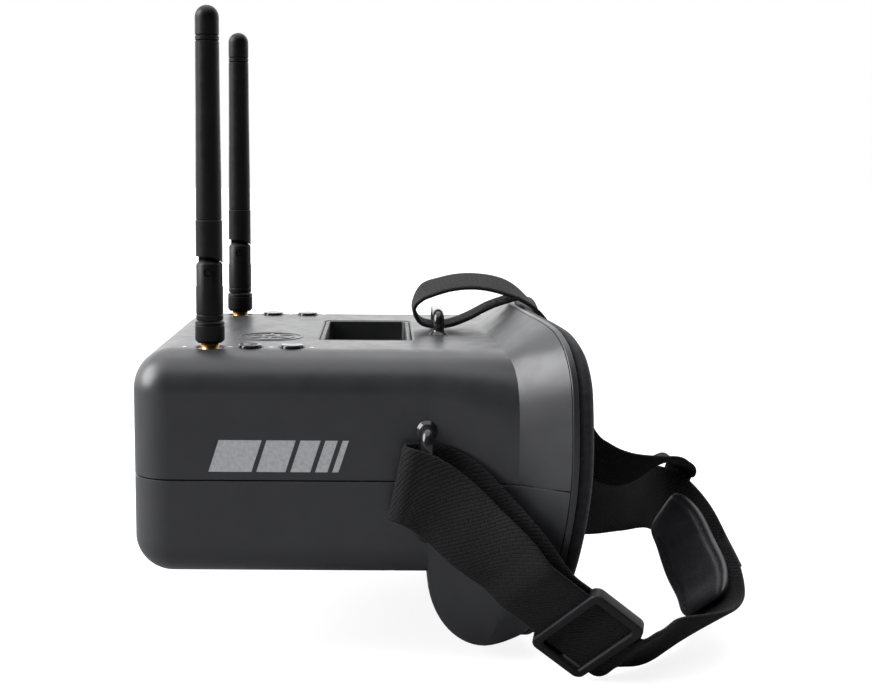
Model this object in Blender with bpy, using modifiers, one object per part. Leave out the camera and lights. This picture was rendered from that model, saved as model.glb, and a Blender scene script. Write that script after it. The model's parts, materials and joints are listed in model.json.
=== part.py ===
"""FPV goggles: a box-type video goggle with two stub antennas, a battery bay and a head strap.

Frame: +Z is up, +X is the wearer's left, -Y is the screen end and +Y is the wearer's face.
The origin is the centre of the flat underside. Lengths are written in millimetres inside mm()
and MM, which turn them into metres.
"""

import math

import bmesh
import bpy
import numpy as np
from mathutils import Matrix, Vector

MM = 0.001


def mm(*values):
    """A point or size given in millimetres, as a vector in metres."""
    return Vector(values) * MM


# ---------------------------------------------------------------- driving dimensions
HALF_WIDTH = 66 * MM
HEIGHT = 75 * MM
FRONT_Y = -74 * MM
BOX_END_Y = 24 * MM
SEAM_Z = 33 * MM
FRONT_FILLET = 13 * MM
TOP_RADIUS = 14 * MM
BOTTOM_RADIUS = 12 * MM
WALL = 2.4 * MM
GAP = 0.3 * MM

ANTENNA_X = 50 * MM
ANTENNA_Y = -49 * MM
NUT_BOTTOM_Z = 76.5 * MM
NUT_HEIGHT = 7.1 * MM
NUT_RADIUS = 4.9 * MM
SLEEVE_RADIUS = 4.5 * MM
WHIP_RADIUS = 4.4 * MM
HINGE_Z = 100 * MM
WHIP_BASE_Z = 105.3 * MM
ANTENNA_TIP_Z = 186.5 * MM
TONGUE_HALF = 1.5 * MM
HINGE_PIN_RADIUS = 1.2 * MM

BUTTON_X = 50 * MM
BUTTON_YS = {"front": -35.6 * MM, "rear": -21.7 * MM}
BUTTON_RADIUS = 4.0 * MM
BUTTON_TRAVEL = 0.8 * MM

BAY_SIZE = mm(60, 32, 11)
BAY_CENTRE_Y = 2.65 * MM

SCREW_PLACES = {"front": (54 * MM, -58 * MM), "rear": (55 * MM, 12 * MM)}
SCREW_LEDGE_Z = 24 * MM

SIDE_LOOP_Y = 23.3 * MM
SIDE_LOOP_X = 72 * MM
SIDE_LOOP_ZS = (16 * MM, 50 * MM)
SIDE_LOOP_RADIUS = 2.2 * MM
TOP_LOOP_Y = 28.7 * MM
TOP_LOOP_Z = 82 * MM
TOP_LOOP_HALF = 13 * MM
TOP_LOOP_RADIUS = 2.0 * MM

SIDE_STRAP_WIDTH = 25 * MM
TOP_STRAP_WIDTH = 18 * MM
STRAP_THICKNESS = 1.4 * MM

SLIDER_LENGTH = 21.5 * MM
SLIDER_WIDTH = 32.5 * MM
SLIDER_HALF_THICKNESS = 2.4 * MM

SWITCH_Y = -40 * MM
SWITCH_Z = 18 * MM
SWITCH_TRAVEL = 2.5 * MM

# The half outline of a cross-section runs from the bottom centre to the top centre in these steps.
BOTTOM_STEPS, LOWER_ARC_STEPS, SIDE_STEPS, UPPER_ARC_STEPS, TOP_STEPS = 6, 4, 5, 6, 4
HALF_STEPS = BOTTOM_STEPS + LOWER_ARC_STEPS + SIDE_STEPS + UPPER_ARC_STEPS + TOP_STEPS
SIDE_START = BOTTOM_STEPS + LOWER_ARC_STEPS

# Step along the half outline, and the point there, on the line where the face flare begins.
CREASE = [
    (0, mm(0, 40, 7)),
    (1, mm(10, 40, 3)),
    (2, mm(19, 41, -9)),
    (3, mm(27, 42, -20.2)),
    (4, mm(36, 43, -26.3)),
    (5, mm(45, 43.5, -28.1)),
    (6, mm(54, 44, -26.8)),
    (8, mm(63.8, 46.5, -17.8)),
    (10, mm(68.6, 50, -2)),
    (12.5, mm(70, 52.5, 22)),
    (15, mm(69.8, 53, 52)),
    (18, mm(64.4, 52, 68.5)),
    (21, mm(52, 48.5, 75.2)),
    (23, mm(26, 46.5, 75.6)),
    (25, mm(0, 46, 75.6)),
]
# The same for the rim, which follows the wearer's face.
RIM = [
    (0, mm(0, 47, 11)),
    (1, mm(9, 47.5, 7)),
    (2, mm(18, 49, -6)),
    (3, mm(27, 51, -18.2)),
    (4, mm(36, 53.5, -24.3)),
    (5, mm(45, 55.5, -25.3)),
    (6, mm(54, 57.5, -22.2)),
    (8, mm(67, 62, -8.6)),
    (10, mm(75, 65.5, 8)),
    (12.5, mm(80, 68.5, 34)),
    (15, mm(78.5, 68.5, 60)),
    (16.5, mm(76, 68, 69)),
    (18, mm(70.5, 66.5, 77)),
    (19.5, mm(62, 64.5, 81.5)),
    (21, mm(52, 62, 83.5)),
    (23, mm(26, 57, 84.8)),
    (25, mm(0, 55, 84.6)),
]

PARTS = "fpv_goggles"
CUTTERS = "cutters"

# Colour, roughness and metallic value of each material.
MATERIALS = {
    "shell_grey": ((0.060, 0.062, 0.068), 0.48, 0.0),
    "black_plastic": ((0.016, 0.016, 0.018), 0.40, 0.0),
    "gloss_black": ((0.012, 0.012, 0.013), 0.15, 0.0),
    "antenna_rubber": ((0.010, 0.010, 0.011), 0.50, 0.0),
    "brass": ((0.72, 0.52, 0.22), 0.30, 1.0),
    "steel": ((0.55, 0.55, 0.57), 0.35, 1.0),
    "webbing": ((0.012, 0.012, 0.013), 0.90, 0.0),
    "foam_cloth": ((0.014, 0.014, 0.016), 0.95, 0.0),
    "lining": ((0.10, 0.10, 0.11), 0.60, 0.0),
    "lens_clear": ((0.85, 0.88, 0.90), 0.05, 0.0),
    "screen": ((0.02, 0.02, 0.03), 0.10, 0.0),
    "board_green": ((0.03, 0.18, 0.08), 0.50, 0.0),
    "cell_blue": ((0.05, 0.12, 0.35), 0.45, 0.0),
}


# ---------------------------------------------------------------- scene and helpers
def clear_scene():
    for obj in list(bpy.data.objects):
        bpy.data.objects.remove(obj, do_unlink=True)
    for name in (PARTS, CUTTERS):
        bpy.context.scene.collection.children.link(bpy.data.collections.new(name))


def material(name):
    if name in bpy.data.materials:
        return bpy.data.materials[name]
    colour, roughness, metallic = MATERIALS[name]
    made = bpy.data.materials.new(name)
    made.use_nodes = True
    shader = made.node_tree.nodes["Principled BSDF"]
    shader.inputs["Base Color"].default_value = (*colour, 1)
    shader.inputs["Roughness"].default_value = roughness
    shader.inputs["Metallic"].default_value = metallic
    made.diffuse_color = (*colour, 1)
    return made


def part(name, mesh, material_name, location=(0, 0, 0), parent=None):
    """A named object of the model, with its own copy of the material."""
    obj = bpy.data.objects.new(name, mesh)
    own = material(material_name).copy()
    own.name = f"{name}_{material_name}"
    obj.data.materials.clear()
    obj.data.materials.append(own)
    obj.location = location
    obj.parent = parent
    bpy.data.collections[PARTS].objects.link(obj)
    return obj


def cutter(name, mesh, location=(0, 0, 0), parent=None):
    obj = bpy.data.objects.new(name, mesh)
    obj.location = location
    obj.parent = parent
    obj.hide_render = True
    obj.display_type = "WIRE"
    bpy.data.collections[CUTTERS].objects.link(obj)
    return obj


def boolean(obj, other, operation="DIFFERENCE"):
    step = obj.modifiers.new(f"{operation.lower()}_{other.name}", "BOOLEAN")
    step.operation = operation
    step.solver = "EXACT"
    step.object = other


def smooth(mesh, angle=32):
    mesh.shade_smooth()
    mesh.set_sharp_from_angle(angle=math.radians(angle))


def mesh_from(name, bm):
    bmesh.ops.recalc_face_normals(bm, faces=bm.faces)
    mesh = bpy.data.meshes.new(name)
    bm.to_mesh(mesh)
    bm.free()
    return mesh


def box_mesh(name, size, radius=0.0, axis=2, segments=3):
    """A box about its centre, with the four edges along one axis rounded."""
    bm = bmesh.new()
    bmesh.ops.create_cube(bm, size=1)
    bmesh.ops.scale(bm, vec=Vector(size), verts=bm.verts)
    if radius:
        edges = [e for e in bm.edges if abs((e.verts[0].co - e.verts[1].co).normalized()[axis]) > 0.99]
        bmesh.ops.bevel(bm, geom=edges, offset=radius, segments=segments, affect="EDGES", profile=0.5)
    return mesh_from(name, bm)


def cylinder_mesh(name, radius, length, axis=2, sides=24):
    bm = bmesh.new()
    bmesh.ops.create_cone(bm, cap_ends=True, segments=sides, radius1=radius, radius2=radius, depth=length)
    turn = {0: Matrix.Rotation(math.pi / 2, 3, "Y"), 1: Matrix.Rotation(math.pi / 2, 3, "X"), 2: Matrix()}
    bmesh.ops.rotate(bm, matrix=turn[axis].to_3x3(), verts=bm.verts)
    return mesh_from(name, bm)


def turned(name, profile, material_name, location, parent=None, steps=20):
    """A solid of revolution about Z from (radius, height) points that run down its outer side."""
    bm = bmesh.new()
    verts = [bm.verts.new((radius, 0, height)) for radius, height in profile]
    for first, second in zip(verts, verts[1:]):
        bm.edges.new((first, second))
    if profile[0][0] > 0 and profile[0] != profile[-1]:
        bm.edges.new((verts[-1], verts[0]))
    mesh = bpy.data.meshes.new(name)
    bm.to_mesh(mesh)
    bm.free()
    obj = part(name, mesh, material_name, location, parent)
    screw = obj.modifiers.new("turn", "SCREW")
    screw.axis = "Z"
    screw.steps = screw.render_steps = steps
    screw.use_merge_vertices = True
    screw.merge_threshold = 0.00001
    screw.use_smooth_shade = True
    return obj


def box(name, low, high, material_name, radius=0.0, axis=2):
    low, high = Vector(low), Vector(high)
    return part(name, box_mesh(name, high - low, radius, axis), material_name, (low + high) / 2)


def box_cutter(name, low, high, radius=0.0, axis=2):
    low, high = Vector(low), Vector(high)
    return cutter(name, box_mesh(name, high - low, radius, axis), (low + high) / 2)


def tube_mesh(name, points, radius):
    """A round bar along a polyline, as a closed mesh."""
    curve = bpy.data.curves.new(name, "CURVE")
    curve.dimensions = "3D"
    curve.bevel_depth = radius
    curve.bevel_resolution = 3
    curve.use_fill_caps = True
    spline = curve.splines.new("POLY")
    spline.points.add(len(points) - 1)
    for knot, point in zip(spline.points, points):
        knot.co = (*point, 1)
    obj = bpy.data.objects.new(name + "_guide", curve)
    bpy.data.collections[CUTTERS].objects.link(obj)
    bpy.context.view_layer.update()
    graph = bpy.context.evaluated_depsgraph_get()
    mesh = bpy.data.meshes.new_from_object(obj.evaluated_get(graph))
    bpy.data.objects.remove(obj, do_unlink=True)
    bm = bmesh.new()
    bm.from_mesh(mesh)
    bmesh.ops.remove_doubles(bm, verts=bm.verts, dist=0.00001)
    bpy.data.meshes.remove(mesh)
    return mesh_from(name, bm)


def rounded_path(corners, radius, steps=5):
    """The polyline with each inner corner replaced by an arc."""
    path = [Vector(corners[0])]
    for before, corner, after in zip(corners, corners[1:], corners[2:]):
        before, corner, after = Vector(before), Vector(corner), Vector(after)
        start = corner + (before - corner).normalized() * radius
        end = corner + (after - corner).normalized() * radius
        for i in range(steps + 1):
            t = i / steps
            path.append(start * (1 - t) ** 2 + corner * 2 * t * (1 - t) + end * t**2)
    path.append(Vector(corners[-1]))
    return path


def through(knots, samples):
    """Points on the smooth curve through (parameter, vector) knots at the sample parameters."""
    places = np.array([knot[0] for knot in knots], float)
    values = np.array([list(knot[1]) for knot in knots], float)
    slopes = np.gradient(values, places, axis=0)
    found = []
    for s in samples:
        i = int(np.clip(np.searchsorted(places, s) - 1, 0, len(places) - 2))
        width = places[i + 1] - places[i]
        t = (s - places[i]) / width
        found.append(
            values[i] * (2 * t**3 - 3 * t**2 + 1)
            + values[i + 1] * (3 * t**2 - 2 * t**3)
            + slopes[i] * width * (t**3 - 2 * t**2 + t)
            + slopes[i + 1] * width * (t**3 - t**2)
        )
    return np.array(found)


# ---------------------------------------------------------------- outer shells
def box_half_outline(y, inset):
    """The half cross-section of the box part, from the bottom centre to the top centre."""
    half, low, high = HALF_WIDTH - inset, inset, HEIGHT - inset
    lower, upper = max(BOTTOM_RADIUS - inset, 1 * MM), max(TOP_RADIUS - inset, 1 * MM)
    points = [(x, low) for x in np.linspace(0, half - lower, BOTTOM_STEPS + 1)]
    for angle in np.linspace(-math.pi / 2, 0, LOWER_ARC_STEPS + 1)[1:]:
        points.append((half - lower + lower * math.cos(angle), low + lower + lower * math.sin(angle)))
    points += [(half, z) for z in np.linspace(low + lower, high - upper, SIDE_STEPS + 1)[1:]]
    for angle in np.linspace(0, math.pi / 2, UPPER_ARC_STEPS + 1)[1:]:
        points.append((half - upper + upper * math.cos(angle), high - upper + upper * math.sin(angle)))
    points += [(x, high) for x in np.linspace(half - upper, 0, TOP_STEPS + 1)[1:]]
    return np.array([(x, y, z) for x, z in points])


def cheek_share(step):
    """1 on the underside, where the cheek pods drop steeply, falling to 0 at the side."""
    t = min(max((step - BOTTOM_STEPS) / LOWER_ARC_STEPS, 0), 1)
    return 1 - t * t * (3 - 2 * t)


def half_outlines():
    """Half cross-sections from the front face to the rim."""
    rings = []
    for angle in np.linspace(math.pi / 2, 0, 6):
        inset = FRONT_FILLET * (1 - math.cos(angle))
        y = FRONT_Y + FRONT_FILLET * (1 - math.sin(angle))
        rings.append(box_half_outline(y, inset))
    rings.append(box_half_outline(-15 * MM, 0))
    last = box_half_outline(BOX_END_Y, 0)
    rings.append(last)
    steps = range(HALF_STEPS + 1)
    crease, rim = through(CREASE, steps), through(RIM, steps)
    share = np.array([cheek_share(step) for step in steps])[:, None]
    for v in (0.1, 0.28, 0.5, 0.75, 1.0):
        spread = share * math.sqrt(1 - (1 - v) ** 2) + (1 - share) * v**1.3
        ring = last + (crease - last) * spread
        ring[:, 1] = (last + (crease - last) * v)[:, 1]
        rings.append(ring)
    for v in (0.5, 1.0):
        spread = share * v**1.6 + (1 - share) * v
        ring = crease + (rim - crease) * spread
        ring[:, 1] = (crease + (rim - crease) * v)[:, 1]
        rings.append(ring)
    for ring in rings:
        ring[0, 0] = ring[-1, 0] = 0
    return rings


def whole_outline(half):
    """Both sides of a half outline as one closed loop, without repeating the centre points."""
    mirrored = half[::-1][1:-1] * (-1, 1, 1)
    return np.concatenate([half, mirrored])


def shell_mesh():
    bm = bmesh.new()
    rows = [[bm.verts.new(p) for p in whole_outline(half)] for half in half_outlines()]
    count = len(rows[0])
    for row, following in zip(rows, rows[1:]):
        for i in range(count):
            j = (i + 1) % count
            bm.faces.new((row[i], row[j], following[j], following[i]))
    bm.faces.new(rows[0][::-1])
    bmesh.ops.recalc_face_normals(bm, faces=bm.faces)
    if sum(face.normal.y for face in bm.faces if len(face.verts) > 4) > 0:
        bmesh.ops.reverse_faces(bm, faces=bm.faces)
    mesh = bpy.data.meshes.new("shell_skin")
    bm.to_mesh(mesh)
    bm.free()
    smooth(mesh, 40)
    return mesh


def post_cutters(z_low, z_high, radius, label):
    made = []
    for row, (x, y) in SCREW_PLACES.items():
        for side in (1, -1):
            mesh = cylinder_mesh(f"{label}_{row}", radius, z_high - z_low, sides=16)
            made.append(cutter(f"{label}_{row}_{side}", mesh, (side * x, y, (z_low + z_high) / 2)))
    return made


def shell_cutters():
    """The openings in the outer wall, and the screw posts' bores."""
    size = BAY_SIZE
    bay = cutter(
        "bay_opening",
        box_mesh("bay_opening", (size.x + 2 * GAP, size.y + 2 * GAP, 20 * MM), 3.3 * MM),
        (0, BAY_CENTRE_Y, HEIGHT),
    )
    holes = [bay]
    for side in (1, -1):
        hole = cylinder_mesh("connector_hole", 4.8 * MM, 12 * MM)
        holes.append(cutter(f"connector_hole_{side}", hole, (side * ANTENNA_X, ANTENNA_Y, HEIGHT)))
        for row, y in BUTTON_YS.items():
            hole = cylinder_mesh("button_hole", BUTTON_RADIUS + 0.4 * MM, 12 * MM)
            holes.append(cutter(f"button_hole_{row}_{side}", hole, (side * BUTTON_X, y, HEIGHT)))
    wall_x = -HALF_WIDTH
    for name, y, z, across, high in side_windows():
        low = (wall_x - 4 * MM, y - across / 2, z - high / 2)
        top = (wall_x + 4 * MM, y + across / 2, z + high / 2)
        holes.append(box_cutter(f"{name}_window", low, top))
    holes += post_cutters(-5 * MM, SCREW_LEDGE_Z, 3.1 * MM, "screw_recess")
    holes += post_cutters(SCREW_LEDGE_Z - 1 * MM, 46 * MM, 1.6 * MM, "screw_bore")
    return holes


def side_windows():
    """Name, Y, Z, width along Y and height of each window in the right side."""
    return [
        ("power_switch", SWITCH_Y + SWITCH_TRAVEL / 2, SWITCH_Z, 8 * MM, 4 * MM),
        ("charge_port", -27 * MM, SWITCH_Z, 9.8 * MM, 4.0 * MM),
        ("av_jack", -15 * MM, SWITCH_Z, 7.4 * MM, 7.4 * MM),
        ("card_slot", -1 * MM, SWITCH_Z, 13.0 * MM, 3.0 * MM),
    ]


def build_shells():
    posts = post_cutters(1.9 * MM, 71.5 * MM, 4.5 * MM, "screw_post")
    openings = shell_cutters()
    trim = [(-8 * MM, 0), (14 * MM, 0), (14 * MM, 10 * MM), (-8 * MM, 10 * MM)]
    rim_trim = cutter("rim_trim", rim_ring_mesh("rim_trim", trim))
    big = 400 * MM
    half_space = box_mesh("half_space", (big, big, big))
    above = cutter("above_seam", half_space, (0, 0, SEAM_Z - GAP / 2 + big / 2))
    below = cutter("below_seam", half_space, (0, 0, SEAM_Z + GAP / 2 - big / 2))
    for name, other_half in (("bottom_shell", above), ("top_shell", below)):
        shell = part(name, shell_mesh(), "shell_grey")
        wall = shell.modifiers.new("wall", "SOLIDIFY")
        wall.thickness = WALL
        wall.offset = -1
        wall.use_even_offset = True
        for post in posts:
            boolean(shell, post, "UNION")
        for opening in openings:
            boolean(shell, opening)
        boolean(shell, rim_trim)
        boolean(shell, other_half)


# ---------------------------------------------------------------- rings that follow the rim
def rim_ring_mesh(name, section):
    """A closed ring along the rim; the section lists (inset towards the middle, height off the rim)."""
    loop = whole_outline(through(RIM, range(HALF_STEPS + 1)))
    loop[0, 0] = loop[HALF_STEPS, 0] = 0
    along = np.roll(loop, -1, 0) - np.roll(loop, 1, 0)
    along /= np.linalg.norm(along, axis=1)[:, None]
    facing = np.array([0, 1, 0]) - along * along[:, 1:2]
    facing /= np.linalg.norm(facing, axis=1)[:, None]
    inward = np.cross(along, facing)
    middle = loop.mean(0)
    if ((middle - loop) * inward).sum() < 0:
        inward = -inward
    bm = bmesh.new()
    rows = [
        [bm.verts.new(p + n * inset + f * height) for inset, height in section]
        for p, n, f in zip(loop, inward, facing)
    ]
    for i, row in enumerate(rows):
        following = rows[(i + 1) % len(rows)]
        for j in range(len(section)):
            k = (j + 1) % len(section)
            bm.faces.new((row[j], row[k], following[k], following[j]))
    mesh = mesh_from(name, bm)
    smooth(mesh, 50)
    return mesh


def build_face_side():
    frame = [(0.3, 0.6), (9.0, 0.6), (9.0, 2.0), (0.3, 2.0)]
    foam = [(1.0, 2.8), (9.0, 2.8), (10.5, 4.6), (8.0, 6.5), (4.0, 6.6), (1.6, 5.0)]
    for name, section, finish in (("face_frame", frame, "black_plastic"), ("face_foam", foam, "foam_cloth")):
        part(name, rim_ring_mesh(name, [(a * MM, b * MM) for a, b in section]), finish)


# ---------------------------------------------------------------- optics and electronics
def build_lens():
    plate = box("lens_frame", mm(-61, 25.5, 9.5), mm(61, 28, 71.5), "black_plastic", 9 * MM, axis=1)
    window = box_cutter("lens_window", mm(-50, 20, 15), mm(50, 34, 67), 5 * MM, axis=1)
    boolean(plate, window)
    box("eyepiece_lens", mm(-54, 28.3, 12), mm(54, 30.8, 70), "lens_clear", 6 * MM, axis=1)
    for side, x in (("left", 57.5), ("right", -57.5)):
        for level, z in (("upper", 60), ("lower", 21)):
            name = f"lens_screw_{side}_{level}"
            place = mm(x, 28.3, z)
            hole = cutter(f"{name}_hole", cylinder_mesh(name, 1.3 * MM, 8 * MM, axis=1, sides=12), place)
            boolean(plate, hole)
            profile = [(0, 1.6), (1.6, 1.4), (2.3, 0.8), (2.3, 0), (1.0, 0), (1.0, -4.5), (0, -4.8)]
            screw = turned(name, [(r * MM, z * MM) for r, z in profile], "steel", place, steps=12)
            screw.rotation_euler = (-math.pi / 2, 0, 0)


def build_screen():
    box("lcd_panel", mm(-52.75, -43.5, 2.9), mm(52.75, -40.5, 70.1), "screen")
    bracket = box("lcd_bracket", mm(-56, -46, 4.5), mm(56, -43.8, 65), "black_plastic", 4 * MM, axis=1)
    boolean(bracket, box_cutter("bracket_window", mm(-46, -50, 13), mm(46, -40, 57), 4 * MM, axis=1))
    box("main_board", mm(-48, -62, 8), mm(48, -60.4, 68), "board_green")
    for side, x in (("left", 27), ("right", -27)):
        box(f"receiver_module_{side}", mm(x - 11.5, -60.1, 26), mm(x + 11.5, -56, 54), "steel")
    box("battery_cell", mm(-30, -34, 3.0), mm(30, 16, 8.0), "cell_blue", 2.4 * MM, axis=1)


def build_battery_bay():
    low = Vector((-BAY_SIZE.x / 2, BAY_CENTRE_Y - BAY_SIZE.y / 2, HEIGHT - BAY_SIZE.z - 1.6 * MM))
    high = Vector((BAY_SIZE.x / 2, BAY_CENTRE_Y + BAY_SIZE.y / 2, HEIGHT - 0.1 * MM))
    tub = box("battery_tray", low, high, "black_plastic", 3 * MM)
    wall = 1.6 * MM
    hollow = box_cutter(
        "battery_space",
        low + Vector((wall, wall, wall)),
        high + Vector((-wall, -wall, 10 * MM)),
        1.6 * MM,
    )
    boolean(tub, hollow)


def build_buttons():
    for side, x in (("left", BUTTON_X), ("right", -BUTTON_X)):
        inner, outer = abs(x) - 8 * MM, abs(x) + 6 * MM
        sign = math.copysign(1, x)
        xs = sorted((sign * inner, sign * outer))
        box(
            f"button_board_{side}",
            (xs[0], -39.5 * MM, 63.7 * MM),
            (xs[1], -16 * MM, 65.3 * MM),
            "board_green",
        )
        for row, y in BUTTON_YS.items():
            profile = [(0, 76.0), (3.4, 76.0), (4.0, 75.5), (4.0, 72.2), (4.9, 72.2), (4.9, 71.2), (0, 71.2)]
            cap = [(r * MM, z * MM - HEIGHT) for r, z in profile]
            turned(f"button_{side}_{row}", cap, "gloss_black", (x, y, HEIGHT))
            switch = box(
                f"tact_switch_{side}_{row}",
                (x - 3 * MM, y - 3 * MM, 65.6 * MM),
                (x + 3 * MM, y + 3 * MM, 69.0 * MM),
                "steel",
            )
            stem = cylinder_mesh("switch_stem", 1.6 * MM, 3.1 * MM, sides=12)
            boolean(switch, cutter(f"switch_stem_{side}_{row}", stem, (x, y, 68.55 * MM)), "UNION")


def build_side_controls():
    """The power switch, charging port, AV jack and card slot behind the windows of the right side."""
    wall_x = -HALF_WIDTH
    box("side_board", mm(-57.7, -49, 8), mm(-56.1, 6, 30), "board_green")
    knob_low = (wall_x - 1.0 * MM, SWITCH_Y - 2 * MM, SWITCH_Z - 1.6 * MM)
    knob_high = (wall_x + 4.4 * MM, SWITCH_Y + 2 * MM, SWITCH_Z + 1.6 * MM)
    box("power_switch_knob", knob_low, knob_high, "gloss_black", 0.5 * MM, axis=0)
    centre = SWITCH_Y + SWITCH_TRAVEL / 2
    body_low = (wall_x + 4.7 * MM, centre - 5 * MM, SWITCH_Z - 3 * MM)
    body_high = (wall_x + 8.0 * MM, centre + 5 * MM, SWITCH_Z + 3 * MM)
    box("power_switch_body", body_low, body_high, "steel")
    inset, mouth_depth = 0.4 * MM, 12 * MM
    for name, y, z, across, high in side_windows()[1:]:
        low = (wall_x + 0.3 * MM, y - across / 2 + inset, z - high / 2 + inset)
        top = (wall_x + 8.0 * MM, y + across / 2 - inset, z + high / 2 - inset)
        socket = box(name, low, top, "gloss_black" if name == "av_jack" else "steel")
        if name == "av_jack":
            mouth = cylinder_mesh("jack_mouth", 1.8 * MM, mouth_depth, axis=0, sides=16)
        else:
            mouth = box_mesh("socket_mouth", (mouth_depth, across - 2.4 * MM, high - 1.8 * MM))
        boolean(socket, cutter(f"{name}_mouth", mouth, (wall_x, y, z)))


def build_case_screws():
    profile = [(0, 16.3), (1.3, 16), (1.3, 0), (2.6, 0), (2.6, -2), (1.4, -2), (1.2, -1.2), (0, -1.2)]
    for row, (x, y) in SCREW_PLACES.items():
        for side, sign in (("left", 1), ("right", -1)):
            outline = [(r * MM, z * MM) for r, z in profile]
            place = (sign * x, y, SCREW_LEDGE_Z - GAP)
            turned(f"case_screw_{side}_{row}", outline, "steel", place, steps=12)


# ---------------------------------------------------------------- antennas
def whip_profile():
    """Down the outer side of the antenna rod, from its domed tip, in metres above the hinge."""
    tip = ANTENNA_TIP_Z - HINGE_Z
    dome = 3.9 * MM
    points = [(0, tip)]
    for angle in np.linspace(math.pi / 2, 0, 5)[1:]:
        points.append((dome * math.cos(angle), tip - dome + dome * math.sin(angle)))
    for depth in (9.7 * MM, 11.4 * MM):
        groove = 0.35 * MM
        points += [
            (dome, tip - depth + groove),
            (dome - groove, tip - depth),
            (dome, tip - depth - groove),
        ]
    seam = 117.3 * MM - HINGE_Z
    points += [
        (WHIP_RADIUS - 0.15 * MM, seam + 0.4 * MM),
        (WHIP_RADIUS - 0.5 * MM, seam),
        (WHIP_RADIUS, seam - 0.4 * MM),
        (WHIP_RADIUS, WHIP_BASE_Z - HINGE_Z + 0.4 * MM),
        (WHIP_RADIUS - 0.4 * MM, WHIP_BASE_Z - HINGE_Z),
        (0, WHIP_BASE_Z - HINGE_Z),
    ]
    return points


def build_antenna(side, x):
    base = bpy.data.objects.new(f"antenna_place_{side}", None)
    base.location = (x, ANTENNA_Y, 0)
    bpy.data.collections[CUTTERS].objects.link(base)

    connector = [(0, 82.0), (2.7, 82.0), (3.1, 81.6), (3.1, 74.4), (4.4, 74.4), (4.4, 69.5), (3.1, 69.5)]
    connector += [(3.1, 66.5), (1.2, 66.5), (1.2, 63.0), (0, 63.0)]
    outline = [(r * MM, z * MM - HEIGHT) for r, z in connector]
    turned(f"sma_connector_{side}", outline, "brass", (0, 0, HEIGHT), base)

    top, inner, depth = NUT_HEIGHT, 3.45 * MM, 6.0 * MM
    nut = [(0, top), (NUT_RADIUS - 0.3 * MM, top)]
    for z in (6.2 * MM, 5.0 * MM):
        nut += [(NUT_RADIUS, z + 0.3 * MM), (NUT_RADIUS - 0.3 * MM, z), (NUT_RADIUS, z - 0.3 * MM)]
    nut += [(NUT_RADIUS, 0.9 * MM), (NUT_RADIUS - 0.9 * MM, 0), (inner, 0), (inner, depth), (0, depth)]
    turned(f"antenna_nut_{side}", nut, "antenna_rubber", (0, 0, NUT_BOTTOM_Z), base)

    foot = NUT_BOTTOM_Z + NUT_HEIGHT + GAP - HINGE_Z
    knuckle = [
        (SLEEVE_RADIUS * math.sin(angle), SLEEVE_RADIUS * math.cos(angle))
        for angle in np.linspace(0, math.pi / 2, 6)
    ]
    knuckle += [(SLEEVE_RADIUS, foot + 0.4 * MM), (SLEEVE_RADIUS - 0.4 * MM, foot), (0, foot)]
    sleeve = turned(f"antenna_sleeve_{side}", knuckle, "antenna_rubber", (0, 0, HINGE_Z), base)
    slot_size = (2 * (TONGUE_HALF + GAP), 12 * MM, 14 * MM)
    slot = box_mesh("knuckle_slot", slot_size)
    boolean(sleeve, cutter(f"knuckle_slot_{side}", slot, (0, 0, HINGE_Z + 2.2 * MM), base))

    whip = turned(f"antenna_whip_{side}", whip_profile(), "antenna_rubber", (0, 0, HINGE_Z), base)
    tongue_radius = 3.6 * MM
    eye = cylinder_mesh("tongue_eye", tongue_radius, 2 * TONGUE_HALF, axis=0)
    boolean(whip, cutter(f"tongue_eye_{side}", eye, (0, 0, HINGE_Z), base), "UNION")
    neck_size = (2 * TONGUE_HALF, 2 * tongue_radius - 0.4 * MM, 6 * MM)
    neck = cutter(f"tongue_neck_{side}", box_mesh("tongue_neck", neck_size), (0, 0, HINGE_Z + 3.2 * MM), base)
    boolean(whip, neck, "UNION")

    hole = cylinder_mesh("pin_hole", HINGE_PIN_RADIUS + GAP, 12 * MM, axis=0, sides=16)
    hole = cutter(f"pin_hole_{side}", hole, (0, 0, HINGE_Z), base)
    boolean(sleeve, hole)
    boolean(whip, hole)
    pin = cylinder_mesh("hinge_pin", HINGE_PIN_RADIUS, 8.4 * MM, axis=0, sides=16)
    part(f"antenna_pin_{side}", pin, "steel", (0, 0, HINGE_Z), base)


# ---------------------------------------------------------------- strap loops
def build_strap_loops():
    foot_x = HALF_WIDTH + GAP
    low, high = SIDE_LOOP_ZS
    for side, sign in (("left", 1), ("right", -1)):
        corners = [
            (sign * foot_x, SIDE_LOOP_Y, high),
            (sign * SIDE_LOOP_X, SIDE_LOOP_Y, high),
            (sign * SIDE_LOOP_X, SIDE_LOOP_Y, low),
            (sign * foot_x, SIDE_LOOP_Y, low),
        ]
        mesh = tube_mesh(f"strap_loop_{side}", rounded_path(corners, 3 * MM), SIDE_LOOP_RADIUS)
        smooth(mesh)
        part(f"strap_loop_{side}", mesh, "gloss_black")
    foot_z = HEIGHT + GAP
    corners = [
        (-TOP_LOOP_HALF, TOP_LOOP_Y, foot_z),
        (-TOP_LOOP_HALF, TOP_LOOP_Y, TOP_LOOP_Z),
        (TOP_LOOP_HALF, TOP_LOOP_Y, TOP_LOOP_Z),
        (TOP_LOOP_HALF, TOP_LOOP_Y, foot_z),
    ]
    mesh = tube_mesh("strap_loop_top", rounded_path(corners, 3 * MM), TOP_LOOP_RADIUS)
    smooth(mesh)
    part("strap_loop_top", mesh, "gloss_black")


# ---------------------------------------------------------------- straps
# The slider sits on a straight stretch of the left side strap and can slide along it.
SLIDER_CENTRE = mm(83, 74.6, -12.2)
RUN_ALONG = Vector((-0.10, 0.78, -0.62))
RUN_ACROSS = Vector((0.47, 0.56, 0.66))
UP = Vector((0, 0.2, 0.98))

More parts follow.
